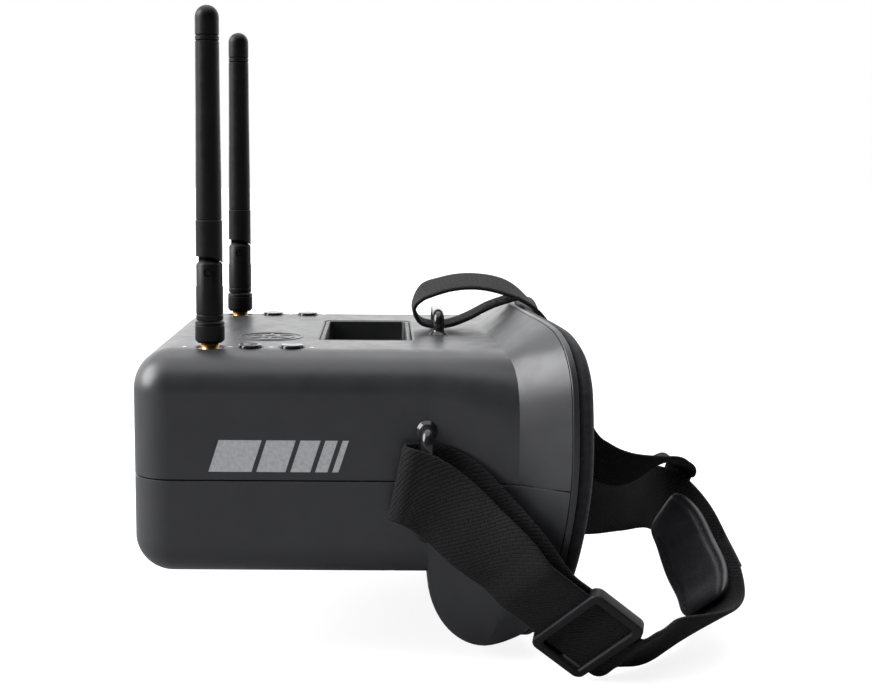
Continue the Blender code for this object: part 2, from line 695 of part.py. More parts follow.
# (centre, direction across the strap) round the back of the head, from the left to the right.
BACK_OF_HEAD = [
    (mm(40, 125.8, -17.6), Vector((0.5, 0.65, 0.55))),
    (mm(28, 127.2, -12.4), Vector((0.38, 0.7, 0.6))),
    (mm(15, 125.6, -6.6), Vector((0.35, 0.7, 0.62))),
    (mm(2, 123.2, 1.6), Vector((0.33, 0.65, 0.68))),
    (mm(-9, 119.6, 6.6), Vector((0.2, 0.45, 0.85))),
]


def run_frame():
    """Along, across (towards the upper edge) and outward directions of the straight stretch."""
    along = RUN_ALONG.normalized()
    across = (RUN_ACROSS - along * RUN_ACROSS.dot(along)).normalized()
    return along, across, along.cross(across)


def strap_course(knots, samples):
    """Centres, directions across and normals along the smooth strap through the knots."""
    centres = [knot[0] for knot in knots]
    steps = [(b - a).length for a, b in zip(centres, centres[1:])]
    places = np.concatenate([[0], np.cumsum(steps)])
    sample_places = np.linspace(0, places[-1], samples)
    path = through(list(zip(places, centres)), sample_places)
    across = through([(s, Vector(knot[1]).normalized()) for s, knot in zip(places, knots)], sample_places)
    along = np.gradient(path, sample_places, axis=0)
    along /= np.linalg.norm(along, axis=1)[:, None]
    across -= along * (across * along).sum(1)[:, None]
    across /= np.linalg.norm(across, axis=1)[:, None]
    return path, across, np.cross(along, across)


def ribbon(name, knots, width, material_name, samples):
    """A flat strap with square ends."""
    bm = bmesh.new()
    rows = [
        [
            bm.verts.new(p + a * width / 2 * u + n * STRAP_THICKNESS / 2 * v)
            for u, v in ((-1, -1), (1, -1), (1, 1), (-1, 1))
        ]
        for p, a, n in zip(*strap_course(knots, samples))
    ]
    bridge(bm, rows)
    return part(name, mesh_from(name, bm), material_name)


def bridge(bm, rows):
    """Joins rows of corner points into a closed bar with flat ends."""
    count = len(rows[0])
    for row, following in zip(rows, rows[1:]):
        for i in range(count):
            j = (i + 1) % count
            bm.faces.new((row[i], row[j], following[j], following[i]))
    bm.faces.new(rows[0])
    bm.faces.new(rows[-1][::-1])


def build_side_strap_left():
    """From the fold round the left loop, through the slider, to the pad at the back of the head."""
    along, across, _ = run_frame()
    fold = [
        (mm(67.9, 22.5, 33.7), UP),
        (mm(67.9, 18.5, 34), UP),
        (mm(69.3, 15, 34), UP),
        (mm(72, 13.6, 34), UP),
        (mm(74.8, 15.5, 33.8), UP),
        (mm(75.6, 20, 32.5), Vector((0, 0.32, 0.95))),
        (mm(76.6, 27.5, 28), Vector((0.05, 0.5, 0.86))),
        (mm(80.4, 38.5, 18.6), Vector((0.15, 0.58, 0.8))),
        (mm(83.8, 48.5, 10.6), Vector((0.38, 0.56, 0.74))),
    ]
    run = [(SLIDER_CENTRE + along * distance * MM, across) for distance in (-25, -23, 0, 10.5, 12.5)]
    after = [
        (mm(77.2, 92.2, -19.6), Vector((0.52, 0.5, 0.66))),
        (mm(70.4, 100.2, -19.4), Vector((0.45, 0.3, 0.68))),
        (mm(61, 111.2, -19.4), Vector((0.5, 0.38, 0.6))),
        (mm(51, 120.6, -19.2), Vector((0.55, 0.55, 0.55))),
    ]
    knots = fold + run + after + BACK_OF_HEAD[:3]
    ribbon("side_strap_left", knots, SIDE_STRAP_WIDTH, "webbing", samples=66)


def build_strap_return():
    """The strap's end, from the left loop back to the slider's middle bar, which it is sewn round."""
    along, across, outward = run_frame()
    offset = outward * -(SLIDER_HALF_THICKNESS + GAP + STRAP_THICKNESS / 2)
    knots = [
        (mm(67.95, 27, 33), UP),
        (mm(69.6, 32.5, 30.2), Vector((0, 0.35, 0.93))),
        (mm(73.6, 41, 22.5), Vector((0.1, 0.55, 0.82))),
        (mm(78.6, 51.5, 12.5), Vector((0.3, 0.56, 0.74))),
    ]
    knots += [(SLIDER_CENTRE + along * distance * MM + offset, across) for distance in (-17, -9, -1)]
    ribbon("strap_return_left", knots, SIDE_STRAP_WIDTH, "webbing", samples=20)


def build_side_strap_right():
    """From the pad round the back of the head to the fold sewn round the right loop."""
    centre, across = BACK_OF_HEAD[2]
    beside = centre + (BACK_OF_HEAD[3][0] - centre).normalized() * 6 * GAP
    knots = [(beside, across)] + BACK_OF_HEAD[3:]
    knots += [
        (mm(-23, 114.6, 7.0), Vector((0.05, 0.2, 1.0))),
        (mm(-43, 106.5, 0.5), Vector((0, 0.25, 0.97))),
        (mm(-62, 94, -6), Vector((0, 0.3, 0.95))),
        (mm(-76.5, 77, -7), Vector((0, 0.25, 0.97))),
        (mm(-82, 60, 3), Vector((0, 0.45, 0.9))),
        (mm(-80, 42, 17), Vector((0, 0.5, 0.87))),
        (mm(-76.4, 29, 28), Vector((0, 0.45, 0.9))),
        (mm(-75.6, 20, 33.8), UP),
        (mm(-74.8, 15.5, 34), UP),
        (mm(-72, 13.6, 34), UP),
        (mm(-69.3, 15, 34), UP),
        (mm(-67.9, 19, 34), UP),
        (mm(-67.9, 26, 33.5), UP),
        (mm(-70.4, 34, 30), Vector((0, 0.3, 0.95))),
        (mm(-74.6, 42, 26), Vector((0, 0.35, 0.95))),
    ]
    ribbon("side_strap_right", knots, SIDE_STRAP_WIDTH, "webbing", samples=60)


def build_top_strap():
    """Sewn round the top loop, over the brow, and down the outer face of the back strap, where it is sewn."""
    flat, tilted = Vector((1, 0, 0)), Vector((1, 0, -0.22))
    knots = [
        (mm(0, 58, 88.0), flat),
        (mm(0, 48, 84.6), flat),
        (mm(0, 39, 80), flat),
        (mm(0, 33, 77.8), flat),
        (mm(0, 27, 77.3), flat),
        (mm(0, 22.2, 78.8), flat),
        (mm(0, 20, 83.2), flat),
        (mm(0, 23, 88.6), tilted),
        (mm(0, 30.5, 91.8), tilted),
        (mm(0, 43, 93.2), tilted),
        (mm(0, 55, 90.4), tilted),
        (mm(0, 64.4, 83.6), flat),
        (mm(0, 71, 73), Vector((1, 0.1, 0.1))),
        (mm(0, 75.5, 58), Vector((1, 0.3, 0.15))),
        (mm(0, 79.4, 43), Vector((0.85, 0.5, 0.2))),
        (mm(0, 86.6, 30.5), Vector((0.5, 0.3, 0.8))),
        (mm(-1, 97, 26.6), Vector((0.5, 0.2, 0.85))),
        (mm(-5, 109, 27.5), Vector((0.75, 0.2, 0.6))),
        (mm(-11.5, 118.5, 28.5), Vector((0.93, 0.3, 0.15))),
        (mm(-17.9, 124.4, 23.2), Vector((0.94, 0.34, -0.03))),
        (mm(-17.5, 122.3, 15.5), Vector((0.94, 0.34, -0.03))),
        (mm(-16.8, 119.6, 6.0), Vector((0.94, 0.34, -0.03))),
    ]
    ribbon("top_strap", knots, TOP_STRAP_WIDTH, "webbing", samples=64)


def build_back_pad():
    """The lined pad on the inner side of the strap where it rounds the back of the head."""
    half_width, thickness, clear = 14 * MM, 3.0 * MM, STRAP_THICKNESS / 2 + 2 * GAP
    path, across, normal = strap_course(BACK_OF_HEAD, 11)
    bm = bmesh.new()
    rows = []
    for i, (p, a, n) in enumerate(zip(path, across, normal)):
        t = i / (len(path) - 1)
        inward = Vector(n) if n[1] < 0 else -Vector(n)
        half = half_width * (0.86 + 0.56 * t * (1 - t))
        rows.append([
            bm.verts.new(Vector(p) + Vector(a) * u * half + inward * v)
            for u, v in ((-1, clear), (1, clear), (1, clear + thickness), (-1, clear + thickness))
        ])
    bridge(bm, rows)
    part("back_pad", mesh_from("back_pad", bm), "lining")


def build_slider():
    """The strap adjuster: a frame with its middle bar set back, so the strap runs straight through."""
    along, across, outward = run_frame()
    place = Matrix.Translation(SLIDER_CENTRE) @ Matrix((along, across, outward)).transposed().to_4x4()
    thick = 2 * SLIDER_HALF_THICKNESS
    block = box_mesh("strap_slider", (SLIDER_LENGTH, SLIDER_WIDTH, thick), 3 * MM)
    slider = part("strap_slider", block, "black_plastic")
    slider.matrix_world = place
    half_slot = SIDE_STRAP_WIDTH / 2 + 0.6 * MM
    clear = STRAP_THICKNESS / 2 + GAP
    end, past = SLIDER_LENGTH / 2, SLIDER_LENGTH
    bar = 3 * MM
    middle = 1.7 * MM
    spaces = {
        "passage": ((-past, -half_slot, -clear), (past, half_slot, clear)),
        "window": ((-end + bar, -half_slot, 0), (end - bar, half_slot, thick)),
        "entry": ((-past, -half_slot, -thick), (-middle, half_slot, 0)),
        "exit": ((middle, -half_slot, -thick), (past, half_slot, 0)),
    }
    for name, (low, high) in spaces.items():
        low, high = Vector(low), Vector(high)
        space = cutter(f"slider_{name}", box_mesh(f"slider_{name}", high - low))
        space.matrix_world = place @ Matrix.Translation((low + high) / 2)
        boolean(slider, space)


def main():
    clear_scene()
    build_shells()
    build_face_side()
    build_lens()
    build_screen()
    build_battery_bay()
    build_buttons()
    build_side_controls()
    build_case_screws()
    for side, x in (("left", ANTENNA_X), ("right", -ANTENNA_X)):
        build_antenna(side, x)
    build_strap_loops()
    build_side_strap_left()
    build_strap_return()
    build_side_strap_right()
    build_top_strap()
    build_back_pad()
    build_slider()


main()
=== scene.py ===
"""Looks of the FPV goggles: fine shells, straps, foam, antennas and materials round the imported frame.

Frame: metres, +Z up, +X the wearer's left, -Y the screen end. Lengths are written in millimetres
inside mm() or times MM.
"""

import json
import math

import bmesh
import bpy
import numpy as np
from mathutils import Matrix, Vector


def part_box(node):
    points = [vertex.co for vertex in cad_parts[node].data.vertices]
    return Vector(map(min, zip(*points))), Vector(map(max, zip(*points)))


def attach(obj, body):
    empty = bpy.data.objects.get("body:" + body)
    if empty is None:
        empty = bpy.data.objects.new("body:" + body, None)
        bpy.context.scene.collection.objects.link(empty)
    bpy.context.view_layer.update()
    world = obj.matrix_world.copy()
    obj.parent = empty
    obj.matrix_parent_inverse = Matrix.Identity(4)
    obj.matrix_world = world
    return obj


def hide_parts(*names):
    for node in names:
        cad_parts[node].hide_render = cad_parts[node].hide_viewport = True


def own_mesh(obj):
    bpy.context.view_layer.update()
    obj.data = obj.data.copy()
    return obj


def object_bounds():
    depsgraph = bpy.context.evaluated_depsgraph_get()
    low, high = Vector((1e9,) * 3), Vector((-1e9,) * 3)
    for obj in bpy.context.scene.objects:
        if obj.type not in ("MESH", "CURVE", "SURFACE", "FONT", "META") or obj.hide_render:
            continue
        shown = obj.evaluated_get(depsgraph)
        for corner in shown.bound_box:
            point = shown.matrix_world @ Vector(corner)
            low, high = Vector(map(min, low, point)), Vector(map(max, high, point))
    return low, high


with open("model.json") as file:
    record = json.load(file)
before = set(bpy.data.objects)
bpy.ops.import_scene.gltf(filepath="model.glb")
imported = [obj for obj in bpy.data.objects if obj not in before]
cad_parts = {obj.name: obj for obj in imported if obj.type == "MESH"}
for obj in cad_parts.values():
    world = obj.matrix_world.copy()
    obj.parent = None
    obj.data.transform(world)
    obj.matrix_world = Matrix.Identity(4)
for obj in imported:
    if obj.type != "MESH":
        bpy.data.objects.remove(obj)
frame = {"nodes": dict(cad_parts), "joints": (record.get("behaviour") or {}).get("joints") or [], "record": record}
cad_bounds = [list(corner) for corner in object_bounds()]
record = frame["record"]
joints = {joint["name"]: joint for joint in frame["joints"]}

MM = 0.001
SIDES = {"left": 1, "right": -1}
ROWS = ("front", "rear")


def mm(*values):
    return Vector(values) * MM


# ---------------------------------------------------------------- dimensions shared with the CAD
HALF_WIDTH, HEIGHT = 66 * MM, 75 * MM
FRONT_Y, BOX_END_Y, SEAM_Z = -74 * MM, 24 * MM, 33 * MM
FRONT_FILLET, TOP_RADIUS, BOTTOM_RADIUS = 13 * MM, 14 * MM, 12 * MM
WALL, GAP = 2.4 * MM, 0.3 * MM
STRAP_THICKNESS = 1.4 * MM
SIDE_STRAP_WIDTH, TOP_STRAP_WIDTH = 25 * MM, 18 * MM

# Steps along the half cross-section: bottom, lower arc, side, upper arc, top. FINE divides each step.
STEP_ENDS = (0, 6, 10, 15, 21, 25)
FINE = (5, 4, 3, 4, 4)

# (step, point) knots of the crease where the hood turns outwards, and of the hood's rim.
CREASE = [
    (0, mm(0, 40, 7)),
    (1, mm(10, 40, 3)),
    (2, mm(19, 41, -9)),
    (3, mm(27, 42, -20.2)),
    (4, mm(36, 43, -26.3)),
    (5, mm(45, 43.5, -28.1)),
    (6, mm(54, 44, -26.8)),
    (8, mm(63.8, 46.5, -17.8)),
    (10, mm(68.6, 50, -2)),
    (12.5, mm(70, 52.5, 22)),
    (15, mm(69.8, 53, 52)),
    (18, mm(64.4, 52, 68.5)),
    (21, mm(52, 48.5, 75.2)),
    (23, mm(26, 46.5, 75.6)),
    (25, mm(0, 46, 75.6)),
]
RIM = [
    (0, mm(0, 47, 11)),
    (1, mm(9, 47.5, 7)),
    (2, mm(18, 49, -6)),
    (3, mm(27, 51, -18.2)),
    (4, mm(36, 53.5, -24.3)),
    (5, mm(45, 55.5, -25.3)),
    (6, mm(54, 57.5, -22.2)),
    (8, mm(67, 62, -8.6)),
    (10, mm(75, 65.5, 8)),
    (12.5, mm(80, 68.5, 34)),
    (15, mm(78.5, 68.5, 60)),
    (16.5, mm(76, 68, 69)),
    (18, mm(70.5, 66.5, 77)),
    (19.5, mm(62, 64.5, 81.5)),
    (21, mm(52, 62, 83.5)),
    (23, mm(26, 57, 84.8)),
    (25, mm(0, 55, 84.6)),
]


# ---------------------------------------------------------------- mesh helpers
def new_object(name, mesh, material):
    obj = bpy.data.objects.new(name, mesh)
    mesh.materials.clear()
    mesh.materials.append(material)
    bpy.context.scene.collection.objects.link(obj)
    return obj


def finish_piece(obj, body, replaced=()):
    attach(obj, body)
    if replaced:
        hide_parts(*replaced)
    return obj


def body_of_node(node):
    return next(name for name, nodes in record["behaviour"]["bodies"].items() if node in nodes)


def stand_in(node, mesh, look):
    """The fine piece that replaces one CAD node and rides on that node's body."""
    return finish_piece(new_object(f"{node}_fine", mesh, look), body_of_node(node), [node])


def middle_and_half(node):
    """The middle and the half size of a CAD node's box."""
    low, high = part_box(node)
    return (low + high) / 2, (high - low) / 2


def in_mm(pairs, base=0.0):
    """(radius or inset, height) pairs written in millimetres, with the heights counted from base."""
    return [(a * MM, base + b * MM) for a, b in pairs]


def smooth(mesh, angle=32):
    mesh.shade_smooth()
    mesh.set_sharp_from_angle(angle=math.radians(angle))


def mesh_from(name, bm, angle=32):
    bmesh.ops.recalc_face_normals(bm, faces=bm.faces)
    mesh = bpy.data.meshes.new(name)
    bm.to_mesh(mesh)
    bm.free()
    smooth(mesh, angle)
    return mesh


def loft(name, rows, closed=False, caps=True, angle=32, bm=None):
    """Quads between rows of points; each row is a closed loop. closed joins the last row to the first."""
    own = bm is None
    bm = bm or bmesh.new()
    verts = [[bm.verts.new(p) for p in row] for row in rows]
    pairs = list(zip(verts, verts[1:] + verts[:1])) if closed else list(zip(verts, verts[1:]))
    count = len(rows[0])
    for row, following in pairs:
        for i in range(count):
            j = (i + 1) % count
            bm.faces.new((row[i], row[j], following[j], following[i]))
    if caps and not closed:
        bm.faces.new(verts[0][::-1])
        bm.faces.new(verts[-1])
    return mesh_from(name, bm, angle) if own else bm


TURN_START = 0.11  # radians; keeps a turned cutter's corners off the shells' own edges


def turn_rows(profile, sides=64, centre=(0, 0, 0)):
    """Rows of a solid of revolution about Z from (radius, height) points, radius 0 left to the caps."""
    rows = []
    angles = np.linspace(0, 2 * math.pi, sides, endpoint=False) + TURN_START
    for radius, height in profile:
        rows.append([
            Vector((radius * math.cos(a), radius * math.sin(a), height)) + Vector(centre) for a in angles
        ])
    return rows


def turned_mesh(name, profile, sides=64, centre=(0, 0, 0)):
    return loft(name, turn_rows(profile, sides, centre))


def turned_at(place, name, profile, sides):
    """A turned solid moved by a matrix."""
    return loft(name, [[place @ p for p in row] for row in turn_rows(profile, sides)])


def rounded_rectangle(half_x, half_y, radius, per_corner=6):
    """Corner-rounded outline about the origin, anticlockwise."""
    points = []
    for sx, sy, start in ((1, 1, 0), (-1, 1, 90), (-1, -1, 180), (1, -1, 270)):
        for a in np.linspace(math.radians(start), math.radians(start + 90), per_corner):
            x = sx * (half_x - radius) + radius * math.cos(a)
            y = sy * (half_y - radius) + radius * math.sin(a)
            points.append((x, y))
    return points


def plate_rows(half_x, half_y, radius, profile, place=Matrix(), per_corner=6):
    """Rows of a rounded plate; profile lists (inset, height) pairs and place turns it into position."""
    rows = []
    for inset, height in profile:
        outline = rounded_rectangle(
            half_x - inset, half_y - inset, max(radius - inset, 0.05 * MM), per_corner
        )
        rows.append([place @ Vector((x, y, height)) for x, y in outline])
    return rows


def tube_rows(path, radii, sides=24):
    """Rows of a round tube along a path, with a frame carried along it."""
    path = [Vector(p) for p in path]
    rows, normal = [], None
    for i, point in enumerate(path):
        tangent = (path[min(i + 1, len(path) - 1)] - path[max(i - 1, 0)]).normalized()
        if normal is None:
            normal = tangent.orthogonal().normalized()
        normal = (normal - tangent * normal.dot(tangent)).normalized()
        side = tangent.cross(normal)
        radius = radii[i] if hasattr(radii, "__len__") else radii
        rows.append([
            point + (normal * math.cos(a) + side * math.sin(a)) * radius
            for a in np.linspace(0, 2 * math.pi, sides, endpoint=False)
        ])
    return rows


def rounded_path(corners, radius, steps=10):
    path = [Vector(corners[0])]
    for before, corner, after in zip(corners, corners[1:], corners[2:]):
        before, corner, after = Vector(before), Vector(corner), Vector(after)
        start = corner + (before - corner).normalized() * radius
        end = corner + (after - corner).normalized() * radius
        for i in range(steps + 1):
            t = i / steps
            path.append(start * (1 - t) ** 2 + corner * 2 * t * (1 - t) + end * t**2)
    path.append(Vector(corners[-1]))
    return path


def through(knots, samples):
    """Points on the smooth curve through (parameter, vector) knots at the sample parameters."""
    places = np.array([knot[0] for knot in knots], float)
    values = np.array([list(knot[1]) for knot in knots], float)
    slopes = np.gradient(values, places, axis=0)
    found = []
    for s in samples:
        i = int(np.clip(np.searchsorted(places, s) - 1, 0, len(places) - 2))
        width = places[i + 1] - places[i]
        t = (s - places[i]) / width
        found.append(
            values[i] * (2 * t**3 - 3 * t**2 + 1)
            + values[i + 1] * (3 * t**2 - 2 * t**3)
            + slopes[i] * width * (t**3 - 2 * t**2 + t)
            + slopes[i + 1] * width * (t**3 - t**2)
        )
    return np.array(found)


def helper(name, mesh):
    obj = bpy.data.objects.new(name, mesh)
    bpy.context.scene.collection.objects.link(obj)
    return obj


def mesh_after_modifiers(obj):
    bpy.context.view_layer.update()
    return bpy.data.meshes.new_from_object(obj.evaluated_get(bpy.context.evaluated_depsgraph_get()))


def weld(mesh):
    """Merges the slivers that a Boolean leaves along nearly touching edges."""
    sliver = 0.002 * MM
    bm = bmesh.new()
    bm.from_mesh(mesh)
    bmesh.ops.remove_doubles(bm, verts=bm.verts, dist=sliver)
    bmesh.ops.dissolve_degenerate(bm, dist=sliver, edges=bm.edges)
    bm.to_mesh(mesh)
    bm.free()


def with_booleans(name, mesh, steps, angle=32):
    """The mesh after Boolean steps, each (operation, mesh), made one at a time and welded."""
    for operation, other_mesh in steps:
        obj = helper(name + "_work", mesh)
        other = helper(name + "_tool", other_mesh)
        step = obj.modifiers.new(operation, "BOOLEAN")
        step.operation = operation
        step.solver = "EXACT"
        step.object = other
        mesh = mesh_after_modifiers(obj)
        for extra in (obj, other):
            bpy.data.objects.remove(extra, do_unlink=True)
        weld(mesh)
    mesh.name = name
    smooth(mesh, angle)
    return mesh


# ---------------------------------------------------------------- materials
class NodeBuilder:
    """Short ways to add nodes to a tree and link them."""

    def __init__(self, owner):
        owner.use_nodes = True
        self.tree = owner.node_tree

    def node(self, kind, **values):
        made = self.tree.nodes.new(kind)
        for key, value in values.items():
            setattr(made, key, value)
        return made

    def link(self, start, end):
        self.tree.links.new(start, end)

    def spread(self, value, low, high, start=0.3, end=0.7, shape="LINEAR"):
        """The value's range from start to end, mapped to low to high."""
        ranged = self.node("ShaderNodeMapRange", interpolation_type=shape)
        for socket, number in (("From Min", start), ("From Max", end), ("To Min", low), ("To Max", high)):
            ranged.inputs[socket].default_value = number
        self.link(value, ranged.inputs["Value"])
        return ranged.outputs["Result"]

    def seen_by_camera(self):
        return self.node("ShaderNodeLightPath").outputs["Is Camera Ray"]


class Surface(NodeBuilder):
    """A Principled material whose colour, roughness and relief come from procedural nodes."""

    def __init__(self, name, roughness=0.5, **sockets):
        self.material = bpy.data.materials.new(name)
        super().__init__(self.material)
        self.shader = self.tree.nodes["Principled BSDF"]
        self.shader.inputs["Roughness"].default_value = roughness
        for socket, value in sockets.items():
            self.shader.inputs[socket.replace("_", " ")].default_value = value
        self.coordinates = self.node("ShaderNodeTexCoord").outputs["Object"]
        self.relief = None

    def use_strap_coordinates(self, angle=0.0):
        """Coordinates in metres along and across a strap, turned by an angle."""
        uv = self.node("ShaderNodeUVMap", uv_map="strap")
        turn = self.node("ShaderNodeMapping")
        turn.inputs["Rotation"].default_value = (0, 0, angle)
        self.link(uv.outputs["UV"], turn.inputs["Vector"])
        self.coordinates = turn.outputs["Vector"]

    def noise(self, size, detail=3.0, stretch=None):
        """Noise whose features are about size metres across."""
        found = self.node("ShaderNodeTexNoise")
        found.inputs["Scale"].default_value = 1 / size
        found.inputs["Detail"].default_value = detail
        source = self.coordinates
        if stretch:
            mapping = self.node("ShaderNodeMapping")
            mapping.inputs["Scale"].default_value = stretch
            self.link(source, mapping.inputs["Vector"])
            source = mapping.outputs["Vector"]
        self.link(source, found.inputs["Vector"])
        return found.outputs["Fac"]

    def colour(self, value, dark, light, start=0.3, end=0.7):
        ramp = self.node("ShaderNodeValToRGB")
        first, last = ramp.color_ramp.elements
        first.position, last.position = start, end
        first.color, last.color = (*dark, 1), (*light, 1)
        self.link(value, ramp.inputs["Fac"])
        self.link(ramp.outputs["Color"], self.shader.inputs["Base Color"])

    def rough(self, value, low, high):
        self.link(self.spread(value, low, high), self.shader.inputs["Roughness"])

    def bump(self, value, depth, strength=1.0):
        """Adds relief of that depth in metres."""
        made = self.node("ShaderNodeBump")
        made.inputs["Strength"].default_value = strength
        made.inputs["Distance"].default_value = depth
        self.link(value, made.inputs["Height"])
        if self.relief:
            self.link(self.relief, made.inputs["Normal"])
        self.relief = made.outputs["Normal"]
        self.link(self.relief, self.shader.inputs["Normal"])


def moulded(name, dark, light, roughness, grain=0.45 * MM, depth=0.02 * MM, **sockets):
    """Moulded plastic: fine spark-eroded grain, faint cloudiness and uneven gloss."""
    surface = Surface(name, **sockets)
    surface.colour(surface.noise(14 * MM, 4), dark, light)
    surface.rough(surface.noise(6 * MM, 5), roughness - 0.04, roughness + 0.05)
    surface.bump(surface.noise(9 * MM, 2), 0.03 * MM, 0.25)
    surface.bump(surface.noise(grain, 2), depth, 0.6)
    return surface.material


def rubbery(name, dark, light, roughness):
    """Rubber: dull, with a faint moulding grain and handling marks."""
    surface = Surface(name, Specular_IOR_Level=0.2)
    surface.colour(surface.noise(5 * MM, 5), dark, light)
    surface.rough(surface.noise(2.5 * MM, 4), roughness - 0.06, roughness + 0.08)
    surface.bump(surface.noise(0.5 * MM, 3), 0.02 * MM, 0.5)
    return surface.material


def metal(name, dark, light, roughness, stretch=(1, 1, 40)):
    """Machined or plated metal with fine tool lines."""
    surface = Surface(name, Metallic=1.0)
    surface.colour(surface.noise(1.5 * MM, 4), dark, light)
    lines = surface.noise(2 * MM, 3, stretch)
    surface.rough(lines, roughness - 0.06, roughness + 0.1)
    surface.bump(lines, 0.01 * MM, 0.4)
    return surface.material


def woven(name, dark, light, angle=math.radians(-58)):
    """Woven elastic: staggered diagonal ribs with a fuzzy surface."""
    surface = Surface(name, 0.82, Sheen_Weight=0.04, Specular_IOR_Level=0.2, Sheen_Roughness=0.5)
    surface.use_strap_coordinates(angle)
    ribs = surface.node("ShaderNodeTexBrick")
    ribs.offset = 0.5
    for socket, value in (
        ("Scale", 1.0), ("Mortar Size", 0.22 * MM), ("Mortar Smooth", 1.0), ("Bias", 0.0),
        ("Brick Width", 3.4 * MM), ("Row Height", 1.15 * MM),
    ):
        ribs.inputs[socket].default_value = value
    ribs.inputs["Color1"].default_value = (1, 1, 1, 1)
    ribs.inputs["Color2"].default_value = (0.75, 0.75, 0.75, 1)
    ribs.inputs["Mortar"].default_value = (0, 0, 0, 1)
    surface.link(surface.coordinates, ribs.inputs["Vector"])
    surface.colour(ribs.outputs["Color"], dark, light, 0.1, 1.0)
    surface.bump(ribs.outputs["Color"], 0.42 * MM, 1.0)
    surface.bump(surface.noise(0.25 * MM, 3), 0.06 * MM, 0.5)
    return surface.material


def cloth(name, dark, light):
    """Brushed cloth over foam: a fine knit with soft pile."""
    surface = Surface(name, 0.92, Sheen_Weight=0.10, Specular_IOR_Level=0.25, Sheen_Roughness=0.6)
    surface.colour(surface.noise(2.2 * MM, 6), dark, light)
    knit = surface.node("ShaderNodeTexVoronoi")
    knit.inputs["Scale"].default_value = 1 / (0.8 * MM)
    surface.link(surface.coordinates, knit.inputs["Vector"])
    surface.bump(knit.outputs["Distance"], 0.15 * MM, 0.7)
    surface.bump(surface.noise(4 * MM, 3), 0.3 * MM, 0.4)
    return surface.material


def leather(name, dark, light):
    """Smooth grained lining."""
    surface = Surface(name, roughness=0.42)
    surface.colour(surface.noise(7 * MM, 4), dark, light)
    surface.rough(surface.noise(3 * MM, 4), 0.30, 0.42)
    pebbles = surface.node("ShaderNodeTexVoronoi", feature="DISTANCE_TO_EDGE")
    pebbles.inputs["Scale"].default_value = 1 / (0.9 * MM)
    surface.link(surface.coordinates, pebbles.inputs["Vector"])
    surface.bump(surface.spread(pebbles.outputs["Distance"], 0, 1, 0, 0.25), 0.06 * MM, 0.5)
    surface.bump(surface.noise(6 * MM, 3), 0.5 * MM, 0.35)
    return surface.material


def printed(name, dark, light):
    """Screen-printed ink, slightly mottled."""
    surface = Surface(name, roughness=0.5)
    surface.colour(surface.noise(1.2 * MM, 5), dark, light, 0.35, 0.6)
    surface.bump(surface.noise(0.4 * MM, 2), 0.01 * MM, 0.4)
    return surface.material


def clear_plate(name):
    """Clear moulded acrylic with faintly uneven gloss."""
    surface = Surface(name, roughness=0.03, Transmission_Weight=1.0, IOR=1.49)
    surface.colour(surface.noise(20 * MM, 2), (0.93, 0.95, 0.97), (0.97, 0.98, 1.0))
    surface.rough(surface.noise(12 * MM, 4), 0.02, 0.06)
    return surface.material


def screen_glass(name):
    """The dark, glossy face of the LCD panel."""
    surface = Surface(name, roughness=0.08)
    surface.colour(surface.noise(30 * MM, 2), (0.010, 0.010, 0.014), (0.018, 0.018, 0.024))
    surface.rough(surface.noise(10 * MM, 4), 0.06, 0.12)
    return surface.material


LOOKS = {
    "shell_grey": moulded("shell_grey_look", (0.024, 0.0245, 0.028), (0.029, 0.0295, 0.033), 0.37),
    "black_plastic": moulded("black_plastic_look", (0.006, 0.006, 0.007), (0.010, 0.010, 0.011), 0.42),
    "gloss_black": moulded(
        "gloss_black_look", (0.010, 0.010, 0.011), (0.014, 0.014, 0.015), 0.16, depth=0.004 * MM
    ),
    "antenna_rubber": rubbery(
        "antenna_rubber_look", (0.0025, 0.0025, 0.0032), (0.0045, 0.0045, 0.0052), 0.42
    ),
    "brass": metal("brass_look", (0.30, 0.19, 0.07), (0.42, 0.29, 0.12), 0.32),
    "steel": metal("steel_look", (0.46, 0.46, 0.48), (0.62, 0.62, 0.64), 0.34),
    "webbing": woven("webbing_look", (0.0010, 0.0010, 0.0012), (0.0065, 0.0065, 0.0075)),
    "foam_cloth": cloth("foam_cloth_look", (0.008, 0.008, 0.010), (0.020, 0.020, 0.024)),
    "lining": leather("lining_look", (0.012, 0.0118, 0.0145), (0.022, 0.0216, 0.0255)),
    "lens_clear": clear_plate("lens_clear_look"),
    "screen": screen_glass("screen_look"),
    "board_green": moulded("board_green_look", (0.020, 0.140, 0.060), (0.035, 0.200, 0.090), 0.40),
    "cell_blue": moulded("cell_blue_look", (0.040, 0.100, 0.300), (0.060, 0.140, 0.400), 0.35),
}
PRINT_LOOK = printed("print_grey_look", (0.42, 0.43, 0.45), (0.52, 0.53, 0.55))
WHITE_PRINT_LOOK = printed("print_white_look", (0.65, 0.65, 0.65), (0.80, 0.80, 0.80))
FRAME_LOOK = moulded("face_frame_look", (0.018, 0.018, 0.020), (0.024, 0.024, 0.027), 0.36)
SLIDER_LOOK = moulded(
    "slider_look", (0.004, 0.004, 0.0048), (0.007, 0.007, 0.008), 0.45, Specular_IOR_Level=0.25
)
PIN_LOOK = metal("black_pin_look", (0.015, 0.015, 0.016), (0.025, 0.025, 0.027), 0.40)
THREAD_LOOK = rubbery("stitch_thread_look", (0.012, 0.012, 0.013), (0.030, 0.030, 0.032), 0.6)


def dress_cad_nodes():
    """Every CAD node that stays visible gets its slot's procedural material."""
    slots = {part["node"]: part["material_slot"] for part in record["subparts"]}
    for node, obj in frame["nodes"].items():
        obj.data.materials.clear()
        obj.data.materials.append(LOOKS[slots[node]])
        obj.data.set_sharp_from_angle(angle=math.radians(32))


